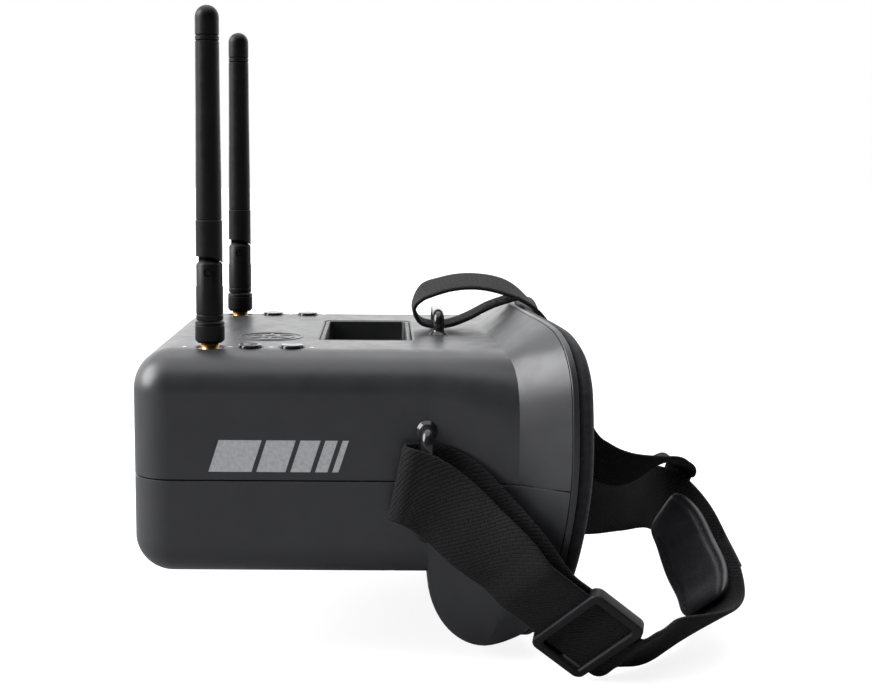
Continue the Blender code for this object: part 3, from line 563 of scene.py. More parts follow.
# ---------------------------------------------------------------- outer shells
def fine_steps():
    samples = [0.0]
    for start, end, fine in zip(STEP_ENDS, STEP_ENDS[1:], FINE):
        samples += list(np.linspace(start, end, (end - start) * fine + 1)[1:])
    return samples


STEPS = fine_steps()


def box_section(y, inset):
    """The half cross-section of the box part, from the bottom centre to the top centre."""
    half, low, high = HALF_WIDTH - inset, inset, HEIGHT - inset
    lower, upper = max(BOTTOM_RADIUS - inset, 1 * MM), max(TOP_RADIUS - inset, 1 * MM)
    points = []
    for step in STEPS:
        part = int(np.clip(np.searchsorted(STEP_ENDS, step) - 1, 0, len(FINE) - 1))
        t = (step - STEP_ENDS[part]) / (STEP_ENDS[part + 1] - STEP_ENDS[part])
        angle = t * math.pi / 2
        x, z = (
            ((half - lower) * t, low),
            (half - lower + lower * math.sin(angle), low + lower * (1 - math.cos(angle))),
            (half, low + lower + t * (high - upper - low - lower)),
            (half - upper + upper * math.cos(angle), high - upper + upper * math.sin(angle)),
            ((half - upper) * (1 - t), high),
        )[part]
        points.append((x, y, z))
    return np.array(points)


def cheek_share(step):
    """1 on the underside, where the cheek pods drop steeply, falling to 0 at the side."""
    t = min(max((step - STEP_ENDS[1]) / (STEP_ENDS[2] - STEP_ENDS[1]), 0), 1)
    return 1 - t * t * (3 - 2 * t)


def half_sections():
    """Half cross-sections from the front face to the rim.

    Past the box they spread to the crease and the rim. Under the cheeks they drop at once and level
    out, and at the sides they leave the box gently.
    """
    rows = []
    for angle in np.linspace(math.pi / 2, 0, 15):
        inset = FRONT_FILLET * (1 - math.cos(angle))
        rows.append(box_section(FRONT_Y + FRONT_FILLET * (1 - math.sin(angle)), inset))
    rows += [box_section(y * MM, 0) for y in (-48, -32, -16, 0, 12, 20)]
    last = box_section(BOX_END_Y, 0)
    rows.append(last)
    crease, rim = through(CREASE, STEPS), through(RIM, STEPS)
    share = np.array([cheek_share(step) for step in STEPS])[:, None]
    for v in np.linspace(0, 1, 17)[1:] ** 1.7:
        spread = share * math.sqrt(1 - (1 - v) ** 2) + (1 - share) * v**1.3
        row = last + (crease - last) * spread
        row[:, 1] = (last + (crease - last) * v)[:, 1]
        rows.append(row)
    for v in np.linspace(0, 1, 7)[1:]:
        spread = share * v**1.6 + (1 - share) * v
        row = crease + (rim - crease) * spread
        row[:, 1] = (crease + (rim - crease) * v)[:, 1]
        rows.append(row)
    for row in rows:
        row[0, 0] = row[-1, 0] = 0
    return rows


def whole_outline(half):
    mirrored = half[::-1][1:-1] * (-1, 1, 1)
    return np.concatenate([half, mirrored])


def skin_mesh(sections):
    """The outer surface, thickened inwards, open at the rim."""
    outlines = [whole_outline(half) for half in sections]
    bm = loft("skin", outlines, caps=False, bm=bmesh.new())
    bm.verts.ensure_lookup_table()
    cap = bm.faces.new(bm.verts[:len(outlines[0])][::-1])
    bmesh.ops.recalc_face_normals(bm, faces=bm.faces)
    if cap.normal.y > 0:
        bmesh.ops.reverse_faces(bm, faces=bm.faces)
    mesh = bpy.data.meshes.new("skin")
    bm.to_mesh(mesh)
    bm.free()
    obj = helper("skin_work", mesh)
    wall = obj.modifiers.new("wall", "SOLIDIFY")
    wall.thickness = WALL
    wall.offset = -1
    wall.use_even_offset = True
    thick = mesh_after_modifiers(obj)
    bpy.data.objects.remove(obj, do_unlink=True)
    return thick


def seam_contour(sections):
    """The line at the seam's height on the left side, from the front face to past the rim."""
    line = []
    for half in sections:
        side = [i for i, step in enumerate(STEPS) if STEP_ENDS[1] <= step <= STEP_ENDS[4]]
        for i, j in zip(side, side[1:]):
            low, high = half[i], half[j]
            if low[2] <= SEAM_Z < high[2]:
                t = (SEAM_Z - low[2]) / (high[2] - low[2])
                line.append(Vector(low + (high - low) * t))
                break
    line.append(line[-1] + (line[-1] - line[-2]).normalized() * 3 * MM)
    return line


def seam_groove(sections):
    """A V-shaped bar along the seam's line, all round the outside."""
    left = seam_contour(sections)
    line = [Vector((-p.x, p.y, p.z)) for p in left[::-1]] + left
    depth, out, slope = 0.5 * MM, 1.2 * MM, 0.75
    rows = []
    for i, point in enumerate(line):
        along = line[min(i + 1, len(line) - 1)] - line[max(i - 1, 0)]
        outward = Vector((along.y, -along.x, 0)).normalized()
        if outward.dot(point - Vector((0, BOX_END_Y, SEAM_Z))) < 0:
            outward.negate()
        reach = (depth + out) * slope
        rows.append([
            point - outward * depth,
            point + outward * out + Vector((0, 0, reach)),
            point + outward * out - Vector((0, 0, reach)),
        ])
    return loft("seam_groove", rows)


def flared_hole(centre, radius, flare=0.5 * MM):
    """A round cutter through the top face, wider at its mouth."""
    profile = [
        (radius, HEIGHT - 8 * MM),
        (radius, HEIGHT - flare),
        (radius + flare, HEIGHT),
        (radius + flare + 1 * MM, HEIGHT + 1 * MM),
    ]
    return turned_mesh("hole", profile, 48, (centre.x, centre.y, 0))


def shell_holes():
    """Cutters of the top shell's bay, connector and button holes, with flared mouths."""
    centre, half = middle_and_half("battery_tray")
    place = Matrix.Translation((centre.x, centre.y, HEIGHT))
    flare = 0.7 * MM
    profile = [(-GAP, -20 * MM), (-GAP, -flare), (-GAP - flare, 0), (-GAP - flare - MM, MM)]
    cutters = [loft("bay", plate_rows(half.x, half.y, 3 * MM, profile, place, 10))]
    for side in SIDES:
        cutters.append(flared_hole(middle_and_half(f"sma_connector_{side}")[0], 4.8 * MM))
        for row in ROWS:
            cutters.append(flared_hole(middle_and_half(f"button_{side}_{row}")[0], 4.3 * MM, 0.4 * MM))
    return cutters


def side_window_cutters():
    """Cutters of the right side's switch slot and sockets; each lists node, margin and corner radius."""
    outwards = Matrix(((0, 0, -1, 0), (1, 0, 0, 0), (0, -1, 0, 0), (0, 0, 0, 1)))
    profile = in_mm([(0, -6), (0, -0.5), (-0.5, 0), (-1.5, 1)])
    cutters = []
    for node, margin, radius in (
        ("power_switch_knob", 0, 1.2 * MM),
        ("charge_port", 0.35 * MM, 1.7 * MM),
        ("av_jack", 0.35 * MM, 3.6 * MM),
        ("card_slot", 0.35 * MM, 0.9 * MM),
    ):
        low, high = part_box(node)
        if node == "power_switch_knob":
            travel = joints["power_switch_slide"]["range_m"][1]
            low, high = low - mm(0, 0.75, 0.4), high + Vector((0, travel + 0.75 * MM, 0.4 * MM))
        half_y, half_z = (high.y - low.y) / 2 + margin, (high.z - low.z) / 2 + margin
        middle = Matrix.Translation((-HALF_WIDTH, (low.y + high.y) / 2, (low.z + high.z) / 2))
        cutters.append(loft("window", plate_rows(half_y, half_z, radius, profile, middle @ outwards, 8)))
    return cutters


def screw_posts():
    """The lower shell's four screw posts, and the cutters of their recesses and bores."""
    posts, holes = [], []
    for side in SIDES:
        for row in ROWS:
            centre, _ = middle_and_half(f"case_screw_{side}_{row}")
            foot = (centre.x, centre.y, 0)
            posts.append(turned_mesh("post", in_mm([(4.5, 1.9), (4.5, 32)]), 40, foot))
            recess = in_mm([(3.9, -2), (3.5, 0.0), (3.1, 0.5), (3.1, 24)])
            holes.append(turned_mesh("recess", recess, 40, foot))
            holes.append(turned_mesh("bore", in_mm([(1.6, 23), (1.6, 46)]), 24, foot))
    return posts, holes


def big_box(z_low, z_high):
    bm = bmesh.new()
    bmesh.ops.create_cube(bm, size=1)
    wide = 400 * MM
    bmesh.ops.scale(bm, vec=(wide, wide, z_high - z_low), verts=bm.verts)
    bmesh.ops.translate(bm, vec=(0, 0, (z_low + z_high) / 2), verts=bm.verts)
    return mesh_from("big_box", bm)


def make_shells():
    sections = half_sections()
    skin = skin_mesh(sections)
    groove = seam_groove(sections)
    posts, post_holes = screw_posts()
    far = 200 * MM
    plans = {
        "top_shell": [
            ("DIFFERENCE", big_box(-far, SEAM_Z + GAP / 2)),
            ("DIFFERENCE", groove),
            *(("DIFFERENCE", hole) for hole in shell_holes()),
        ],
        "bottom_shell": [
            ("DIFFERENCE", big_box(SEAM_Z - GAP / 2, far)),
            ("DIFFERENCE", groove.copy()),
            *(("UNION", post) for post in posts),
            *(("DIFFERENCE", hole) for hole in post_holes),
            *(("DIFFERENCE", window) for window in side_window_cutters()),
        ],
    }
    for node, steps in plans.items():
        mesh = with_booleans(node + "_fine", skin.copy(), steps, 15)
        shell = stand_in(node, mesh, LOOKS["shell_grey"])
        even = shell.modifiers.new("even_normals", "WEIGHTED_NORMAL")
        even.keep_sharp = True


# ---------------------------------------------------------------- face frame and foam
def rim_ring_rows(section):
    """Rows of a ring along the rim; the section lists (inset towards the middle, height off the rim)."""
    loop = whole_outline(through(RIM, STEPS))
    loop[0, 0] = loop[len(STEPS) - 1, 0] = 0
    along = np.roll(loop, -1, 0) - np.roll(loop, 1, 0)
    along /= np.linalg.norm(along, axis=1)[:, None]
    facing = np.array([0, 1, 0]) - along * along[:, 1:2]
    facing /= np.linalg.norm(facing, axis=1)[:, None]
    inward = np.cross(along, facing)
    if ((loop.mean(0) - loop) * inward).sum() < 0:
        inward = -inward
    return [
        [Vector(p + n * inset * MM + f * height * MM) for inset, height in section]
        for p, n, f in zip(loop, inward, facing)
    ]


def closed_curve(points, samples):
    """A smooth closed outline through a few points."""
    points = np.array(points, float)
    count = len(points)
    found = []
    for s in np.linspace(0, count, samples, endpoint=False):
        i, t = int(s), s - int(s)
        a, b, c, d = (points[(i + k) % count] for k in (-1, 0, 1, 2))
        found.append(
            0.5 * (2 * b + (c - a) * t + (2 * a - 5 * b + 4 * c - d) * t**2 + (3 * b - a - 3 * c + d) * t**3)
        )
    return found


def make_face_ring():
    """The face frame, a flat band along the rim, and the crowned foam ring on it."""
    outer = [(9.0, 0.3), (9.2, 0.5), (9.2, 2.1), (9.0, 2.3)]
    band = [(-0.2, 0.5), (0.0, 0.3), *outer, (0.0, 2.3), (-0.2, 2.1)]
    mesh = loft("face_frame_fine", rim_ring_rows(band), closed=True, angle=40)
    stand_in("face_frame", mesh, FRAME_LOOK)

    crown = [(10.8, 4.2), (9.6, 6.2), (6.4, 7.4), (3.0, 7.2), (0.8, 5.4)]
    section = closed_curve([(1.2, 2.6), (5.0, 2.4), (9.2, 2.6), *crown], 32)
    mesh = loft("face_foam_fine", rim_ring_rows(section), closed=True, angle=60)
    foam = stand_in("face_foam", mesh, LOOKS["foam_cloth"])


# ---------------------------------------------------------------- battery bay and buttons
def make_battery_tray():
    """The open tray of the battery bay, with a rounded lip and a rounded floor."""
    low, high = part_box("battery_tray")
    centre, half = middle_and_half("battery_tray")
    wall = 1.6 * MM
    floor = low.z + wall
    profile = in_mm([(0.6, 0), (0, 0.6)], low.z)
    profile += in_mm([(0, -0.5), (0.15, -0.15), (0.5, 0), (1.1, 0), (1.45, -0.15), (1.6, -0.6)], high.z)
    profile += [(wall, floor + 1.5 * MM), (wall + 0.4 * MM, floor + 0.5 * MM)]
    profile += [(wall + 1.4 * MM, floor), (wall + 4 * MM, floor)]
    place = Matrix.Translation((centre.x, centre.y, 0))
    mesh = loft("battery_tray_fine", plate_rows(half.x, half.y, 3 * MM, profile, place, 10))
    stand_in("battery_tray", mesh, LOOKS["black_plastic"])


def make_buttons():
    """Round push buttons with a dished top and a flange under the shell."""
    for side in SIDES:
        for row in ROWS:
            node = f"button_{side}_{row}"
            low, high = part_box(node)
            centre, _ = middle_and_half(node)
            profile = in_mm([(4.9, 0), (4.9, 1.0), (4.0, 1.0)], low.z)
            profile += in_mm([(4.0, -0.5), (3.85, -0.2), (3.5, 0), (3.0, -0.02)], high.z)
            profile += in_mm([(2.0, -0.16), (1.0, -0.22), (0.2, -0.24)], high.z)
            mesh = turned_mesh(node + "_fine", profile, 48, (centre.x, centre.y, 0))
            stand_in(node, mesh, LOOKS["gloss_black"])


# ---------------------------------------------------------------- antennas
TONGUE_HALF, EYE_RADIUS, EDGE = 1.5 * MM, 3.6 * MM, 0.2 * MM
WHIP_NOTCH_TOP, WHIP_SEAM = 105.3 * MM, 117.3 * MM


def ring_groove(radius, place, depth, width):
    """Profile points of a small V groove, listed upwards."""
    return [(radius, place - width), (radius - depth, place), (radius, place + width)]


def on_hinge(fold, name, profile, sides):
    """A solid turned about the hinge's axis, which runs along X through the fold point."""
    turn = Matrix.Translation(fold) @ Matrix.Rotation(math.pi / 2, 4, "Y")
    return turned_at(turn, name, profile, sides)


def hinge_block(fold, half_x, half_y, low, high, shift_y=0.0):
    """An upright block by the fold point, between two heights counted from it."""
    place = Matrix.Translation((fold.x, fold.y + shift_y, fold.z))
    return loft("block", plate_rows(half_x, half_y, 0.3 * MM, [(0, low), (0, high)], place))


def hinge_hole(fold):
    return on_hinge(fold, "hole", in_mm([(1.3, -8), (1.3, 8)]), 32)


def make_whip(side, fold):
    """The rod with its dome, seam and grooves, hollowed round the sleeve's top, and its hinge eye."""
    node = f"antenna_whip_{side}"
    tip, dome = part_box(node)[1].z, 3.9 * MM
    profile = in_mm([(4.2, 2.4), (4.4, 2.6)], fold.z)
    profile += in_mm([(4.4, -0.35), (4.25, -0.15), (4.05, 0), (4.25, 0.2)], WHIP_SEAM)
    profile += in_mm([(4.2, 130), (4.05, 145), (3.95, 160)])
    for depth in (11.4 * MM, 9.7 * MM):
        profile += ring_groove(dome, tip - depth, 0.3 * MM, 0.3 * MM)
    for angle in np.linspace(0, math.pi / 2, 12)[:-1]:
        profile.append((dome * math.cos(angle), tip - dome + dome * math.sin(angle)))
    profile.append((0.15 * MM, tip))
    rod = turned_mesh("rod", profile, 64, (fold.x, fold.y, 0))
    rounded = EYE_RADIUS - EDGE
    eye_side = [(EYE_RADIUS, -TONGUE_HALF + EDGE), (EYE_RADIUS, TONGUE_HALF - EDGE)]
    eye = on_hinge(fold, "eye", [(rounded, -TONGUE_HALF), *eye_side, (rounded, TONGUE_HALF)], 48)
    steps = [
        ("DIFFERENCE", on_hinge(fold, "ball", in_mm([(5.4, -8), (5.4, 8)]), 64)),
        ("DIFFERENCE", hinge_block(fold, 8 * MM, 6 * MM, -MM, WHIP_NOTCH_TOP - fold.z, -6 * MM)),
        ("UNION", eye),
        ("UNION", hinge_block(fold, TONGUE_HALF, rounded, 0, 6 * MM)),
        ("DIFFERENCE", hinge_hole(fold)),
    ]
    stand_in(node, with_booleans(node + "_fine", rod, steps), LOOKS["antenna_rubber"])


def make_sleeve(side, fold):
    """The lower sleeve, with a crowned top, a slot for the whip's eye and the pin's hole."""
    node = f"antenna_sleeve_{side}"
    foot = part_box(node)[0].z
    radius, crown, lid = 4.5 * MM, 5.15 * MM, 4.8 * MM
    profile = [(radius - 0.5 * MM, foot), (radius - 0.1 * MM, foot + 0.15 * MM), (radius, foot + 0.5 * MM)]
    profile += ring_groove(radius, foot + 2.0 * MM, 0.18 * MM, 0.25 * MM)
    for angle in np.linspace(math.acos(radius / crown), math.asin(lid / crown), 8):
        profile.append((crown * math.cos(angle), fold.z + crown * math.sin(angle)))
    profile.append((0.2 * MM, fold.z + lid))
    body = turned_mesh("sleeve", profile, 64, (fold.x, fold.y, 0))
    slot = hinge_block(fold, TONGUE_HALF + GAP, 6 * MM, -4.8 * MM, 9.2 * MM)
    mesh = with_booleans(node + "_fine", body, [("DIFFERENCE", slot), ("DIFFERENCE", hinge_hole(fold))])
    stand_in(node, mesh, LOOKS["antenna_rubber"])


def make_pin(side, fold):
    node = f"antenna_pin_{side}"
    profile = in_mm([(1.0, -4.2), (1.2, -4.0), (1.2, 4.0), (1.0, 4.2)])
    stand_in(node, on_hinge(fold, node + "_fine", profile, 32), PIN_LOOK)


def make_nut(side, fold):
    """The round nut under the sleeve, open below for the connector."""
    node = f"antenna_nut_{side}"
    low, high = (corner.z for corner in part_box(node))
    radius, inner = 4.9 * MM, 3.45 * MM
    profile = [(0.3 * MM, high - 1.1 * MM), (inner, high - 1.1 * MM), (inner, low + 0.2 * MM)]
    profile += [(inner + 0.2 * MM, low), (3.9 * MM, low), (4.1 * MM, low + 0.05 * MM)]
    profile += [(radius - 0.05 * MM, low + 0.9 * MM), (radius, low + 1.1 * MM)]
    profile += ring_groove(radius, high - 1.2 * MM, 0.22 * MM, 0.25 * MM)
    profile += [(radius - 0.1 * MM, high - 0.2 * MM), (radius - 0.35 * MM, high), (0.3 * MM, high)]
    mesh = turned_mesh(node + "_fine", profile, 72, (fold.x, fold.y, 0))
    stand_in(node, mesh, LOOKS["antenna_rubber"])


def make_connector(side, fold):
    """The threaded brass connector: its pin and barrel inside the case, its collar and its thread."""
    node = f"sma_connector_{side}"
    low, high = (corner.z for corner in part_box(node))
    profile = [(0.6 * MM, low), (1.1 * MM, low + 0.2 * MM)]
    profile += in_mm([(1.2, 66.5), (3.1, 66.5), (3.1, 69.5), (4.2, 69.5), (4.4, 69.7)])
    profile += in_mm([(4.4, 74.2), (4.2, 74.4), (3.1, 74.4)])
    thread_start, pitch, turns = 75.0 * MM, 0.7 * MM, 9
    for index in range(turns):
        z = thread_start + index * pitch
        profile += [(2.85 * MM, z), (3.12 * MM, z + pitch * 0.45)]
    profile += in_mm([(2.9, -0.25), (2.65, 0), (2.2, 0), (2.2, -1.5), (0.3, -1.5)], high)
    mesh = turned_mesh(node + "_fine", profile, 56, (fold.x, fold.y, 0))
    stand_in(node, mesh, LOOKS["brass"])


def make_antenna(side):
    fold = Vector(joints[f"antenna_{side}_fold"]["pos_m"])
    for make_part in (make_whip, make_sleeve, make_pin, make_nut, make_connector):
        make_part(side, fold)


# ---------------------------------------------------------------- strap loops
def make_loop(node, corners, bend, radius, flanges):
    bar = loft("bar", tube_rows(rounded_path(corners, bend), radius, 28))
    mesh = with_booleans(node + "_fine", bar, [("UNION", flange) for flange in flanges], 40)
    stand_in(node, mesh, LOOKS["gloss_black"])


def make_loops():
    """Round loops that the straps pass through, each foot in a small flange."""
    radius = 2.2 * MM
    flange = in_mm([(3.5, -0.3), (3.5, 0.1), (3.2, 0.45), (2.6, 0.8), (2.25, 1.6)])
    for side, sign in SIDES.items():
        node = f"strap_loop_{side}"
        low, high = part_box(node)
        y = (low.y + high.y) / 2
        outer = max(abs(low.x), abs(high.x)) - radius
        z_low, z_high = low.z + radius, high.z - radius
        foot = HALF_WIDTH - 0.5 * MM
        corners = [(foot, y, z_high), (outer, y, z_high), (outer, y, z_low), (foot, y, z_low)]
        corners = [(sign * cx, cy, cz) for cx, cy, cz in corners]
        sideways = Matrix.Rotation(sign * math.pi / 2, 4, "Y")
        flanges = []
        for z in (z_low, z_high):
            place = Matrix.Translation((sign * HALF_WIDTH, y, z)) @ sideways
            flanges.append(turned_at(place, "flange", flange, 32))
        make_loop(node, corners, 4 * MM, radius, flanges)
    node, radius = "strap_loop_top", 2.0 * MM
    low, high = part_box(node)
    y, half, top = (low.y + high.y) / 2, high.x - radius, high.z - radius
    foot = HEIGHT - 0.5 * MM
    corners = [(-half, y, foot), (-half, y, top), (half, y, top), (half, y, foot)]
    flange = in_mm([(3.3, -0.3), (3.3, 0.15), (3.0, 0.5), (2.4, 0.9), (2.05, 1.7)])
    flanges = [turned_mesh("flange", flange, 32, (x, y, HEIGHT)) for x in (-half, half)]
    make_loop(node, corners, 3.5 * MM, radius, flanges)


# ---------------------------------------------------------------- straps
SLIDER_CENTRE = middle_and_half("strap_slider")[0]
RUN_ALONG = -Vector(joints["strap_slider_slide"]["axis"]).normalized()
RUN_ACROSS = Vector((0.47, 0.56, 0.66))
RUN_ACROSS = (RUN_ACROSS - RUN_ALONG * RUN_ACROSS.dot(RUN_ALONG)).normalized()
RUN_OUTWARD = RUN_ALONG.cross(RUN_ACROSS)
SLIDER_HALF_THICKNESS = 2.4 * MM
UP = (0, 0.2, 0.98)


def strap_knots(*rows):
    """(centre, direction across) knots; each row gives the centre in millimetres and the direction."""
    return [(mm(*centre), Vector(across)) for centre, across in rows]


BACK_OF_HEAD = strap_knots(
    ((40, 125.8, -17.6), (0.5, 0.65, 0.55)),
    ((28, 127.2, -12.4), (0.38, 0.7, 0.6)),
    ((15, 125.6, -6.6), (0.35, 0.7, 0.62)),
    ((2, 123.2, 1.6), (0.33, 0.65, 0.68)),
    ((-9, 119.6, 6.6), (0.2, 0.45, 0.85)),
)


def strap_course(knots, samples):
    """Places along, centres, directions across and normals along the smooth strap through the knots."""
    centres = [knot[0] for knot in knots]
    steps = [(b - a).length for a, b in zip(centres, centres[1:])]
    places = np.concatenate([[0], np.cumsum(steps)])
    sample_places = np.linspace(0, places[-1], samples)
    path = through(list(zip(places, centres)), sample_places)
    across = through([(s, Vector(knot[1]).normalized()) for s, knot in zip(places, knots)], sample_places)
    along = np.gradient(path, sample_places, axis=0)
    along /= np.linalg.norm(along, axis=1)[:, None]
    across -= along * (across * along).sum(1)[:, None]
    across /= np.linalg.norm(across, axis=1)[:, None]
    return sample_places, path, across, np.cross(along, across)


def strap_section(width, thickness, columns=12, edge=3):
    """Outline of the webbing: flat faces and rounded selvedges, as (across, out) pairs."""
    half, round_off = width / 2, thickness / 2
    top = [(u, round_off) for u in np.linspace(-half + round_off, half - round_off, columns)]
    right = [
        (half - round_off + round_off * math.cos(a), round_off * math.sin(a))
        for a in np.linspace(math.pi / 2, -math.pi / 2, edge + 2)[1:-1]
    ]
    bottom = [(u, -v) for u, v in top[::-1]]
    left = [(-u, -v) for u, v in right]
    return top + right + bottom + left


def make_strap(name, knots, width, samples, replaced):
    """Webbing with rounded selvedges, and strap coordinates for the weave."""
    section = strap_section(width, STRAP_THICKNESS)
    places, path, across, normal = strap_course(knots, samples)
    rows = [
        [Vector(p + a * u + n * v) for u, v in section]
        for p, a, n in zip(path, across, normal)
    ]
    bm = bmesh.new()
    verts = [[bm.verts.new(p) for p in row] for row in rows]
    layer = bm.loops.layers.uv.new("strap")
    count = len(section)
    width_at = np.cumsum([0] + [
        math.hypot(section[(i + 1) % count][0] - section[i][0], section[(i + 1) % count][1] - section[i][1])
        for i in range(count)
    ])
    for r in range(len(rows) - 1):
        for i in range(count):
            j = (i + 1) % count
            face = bm.faces.new((verts[r][i], verts[r][j], verts[r + 1][j], verts[r + 1][i]))
            ends = ((i, r), (i + 1, r), (i + 1, r + 1), (i, r + 1))
            for loop, (column, row) in zip(face.loops, ends):
                loop[layer].uv = (places[row], width_at[column])
    for end in (verts[0][::-1], verts[-1]):
        bm.faces.new(end)
    mesh = mesh_from(name, bm, 50)
    strap = new_object(name, mesh, LOOKS["webbing"])
    return finish_piece(strap, "case", replaced)


def stitch_rows(name, places, body, length=2.2 * MM, radius=0.22 * MM):
    """Small thread bumps; places lists (centre, direction, outward)."""
    bm = bmesh.new()
    for centre, direction, outward in places:
        direction, outward = Vector(direction).normalized(), Vector(outward).normalized()
        side = direction.cross(outward)
        rows = []
        for t in (-1, -0.7, 0, 0.7, 1):
            swell = radius * math.sqrt(max(1 - t * t, 0.08))
            rows.append([
                Vector(centre) + direction * t * length / 2
                + (side * math.cos(a) + outward * math.sin(a)) * swell
                for a in np.linspace(0, 2 * math.pi, 8, endpoint=False)
            ])
        loft(name, rows, bm=bm)
    thread = new_object(name, mesh_from(name, bm), THREAD_LOOK)
    return finish_piece(thread, body)


def box_stitch(course, start, end, width, step=3.0 * MM):
    """Stitch places round and across a rectangle on a strap, on both faces."""
    places, path, across, normal = course
    found = []

    def at(s, u):
        p = np.array([np.interp(s, places, path[:, k]) for k in range(3)])
        a = np.array([np.interp(s, places, across[:, k]) for k in range(3)])
        n = np.array([np.interp(s, places, normal[:, k]) for k in range(3)])
        return p + a * u, n

    half = width / 2 - 2.5 * MM
    corners = [(start, -half), (end, -half), (end, half), (start, half), (start, -half), (end, half)]
    corners += [(end, -half), (start, half)]
    for (s0, u0), (s1, u1) in zip(corners, corners[1:]):
        count = max(int(math.hypot(s1 - s0, u1 - u0) / step), 1)
        for i in range(count):
            t0, t1 = (i + 0.15) / count, (i + 0.85) / count
            p0, n = at(s0 + (s1 - s0) * t0, u0 + (u1 - u0) * t0)
            p1, _ = at(s0 + (s1 - s0) * t1, u0 + (u1 - u0) * t1)
            for face in (1, -1):
                found.append(((p0 + p1) / 2 + n * face * STRAP_THICKNESS / 2, p1 - p0, n * face))
    return found


def side_left_knots():
    """From the left loop, folded round its bar, down through the slider and round to the pad."""
    fold = strap_knots(
        ((67.9, 22.5, 33.7), UP),
        ((67.9, 18.5, 34), UP),
        ((69.3, 15, 34), UP),
        ((72, 13.6, 34), UP),
        ((74.8, 15.5, 33.8), UP),
        ((75.6, 20, 32.5), (0, 0.32, 0.95)),
        ((76.6, 27.5, 28), (0.05, 0.5, 0.86)),
        ((80.4, 38.5, 18.6), (0.15, 0.58, 0.8)),
        ((83.8, 48.5, 10.6), (0.38, 0.56, 0.74)),
    )
    run = [(SLIDER_CENTRE + RUN_ALONG * d * MM, RUN_ACROSS) for d in (-25, -23, 0, 10.5, 12.5)]
    after = strap_knots(
        ((77.2, 92.2, -19.6), (0.52, 0.5, 0.66)),
        ((70.4, 100.2, -19.4), (0.45, 0.3, 0.68)),
        ((61, 111.2, -19.4), (0.5, 0.38, 0.6)),
        ((51, 120.6, -19.2), (0.55, 0.55, 0.55)),
    )
    return fold + run + after + BACK_OF_HEAD[:3]


def return_knots():
    """The folded-back end, from inside the left loop to the slider's middle bar."""
    offset = RUN_OUTWARD * -(SLIDER_HALF_THICKNESS + GAP + STRAP_THICKNESS / 2)
    knots = strap_knots(
        ((67.95, 23, 33.9), UP),
        ((68.0, 27, 33), UP),
        ((69.6, 32.5, 30.2), (0, 0.35, 0.93)),
        ((73.6, 41, 22.5), (0.1, 0.55, 0.82)),
        ((78.6, 51.5, 12.5), (0.3, 0.56, 0.74)),
    )
    return knots + [(SLIDER_CENTRE + RUN_ALONG * d * MM + offset, RUN_ACROSS) for d in (-17, -9, -1)]


def side_right_knots():
    """From a sewn lap on the left strap, round the head and through the right loop to its sewn end."""
    lap = Vector((-0.31, 0.70, -0.62)).normalized() * (STRAP_THICKNESS + 0.1 * MM)
    lapped = [(centre + lap, across) for centre, across in BACK_OF_HEAD[1:3]]
    return lapped + BACK_OF_HEAD[3:] + strap_knots(
        ((-23, 114.6, 7.0), (0.05, 0.2, 1.0)),
        ((-43, 106.5, 0.5), (0, 0.25, 0.97)),
        ((-62, 94, -6), (0, 0.3, 0.95)),
        ((-76.5, 77, -7), (0, 0.25, 0.97)),
        ((-82, 60, 3), (0, 0.45, 0.9)),
        ((-80, 42, 17), (0, 0.5, 0.87)),
        ((-76.4, 29, 28), (0, 0.45, 0.9)),
        ((-75.6, 20, 33.8), UP),
        ((-74.8, 15.5, 34), UP),
        ((-72, 13.6, 34), UP),
        ((-69.3, 15, 34), UP),
        ((-67.9, 19, 34), UP),
        ((-67.9, 26, 33.5), UP),
        ((-70.4, 34, 30), (0, 0.3, 0.95)),
        ((-74.6, 42, 26), (0, 0.35, 0.95)),
    )


def top_knots():
    """From its sewn end under the top loop, back over the brow and down onto the back strap."""
    flat, tilted = (1, 0, 0), (1, 0, -0.22)
    under = [(58, 88.0), (48, 84.6), (39, 80), (33, 77.8), (27, 77.3), (22.2, 78.8), (20, 83.2)]
    over = [(23, 88.6), (30.5, 91.8), (43, 93.2), (55, 90.4)]
    course = strap_knots(*(((0, y, z), flat) for y, z in under), *(((0, y, z), tilted) for y, z in over))
    return course + strap_knots(
        ((0, 64.4, 83.6), flat),
        ((0, 71, 73), (1, 0.1, 0.1)),
        ((0, 75.5, 58), (1, 0.3, 0.15)),
        ((0, 79.4, 43), (0.85, 0.5, 0.2)),
        ((0, 86.6, 29), (0.5, 0.3, 0.8)),
        ((-1, 97, 23), (0.5, 0.2, 0.85)),
        ((-5, 109, 22.6), (0.75, 0.2, 0.6)),
        ((-11.5, 118.5, 24), (0.93, 0.3, 0.15)),
        ((-17.9, 123.9, 20.2), (0.94, 0.34, -0.03)),
        ((-17.5, 122.0, 14.0), (0.94, 0.34, -0.03)),
        ((-16.8, 119.6, 6.0), (0.94, 0.34, -0.03)),
    )


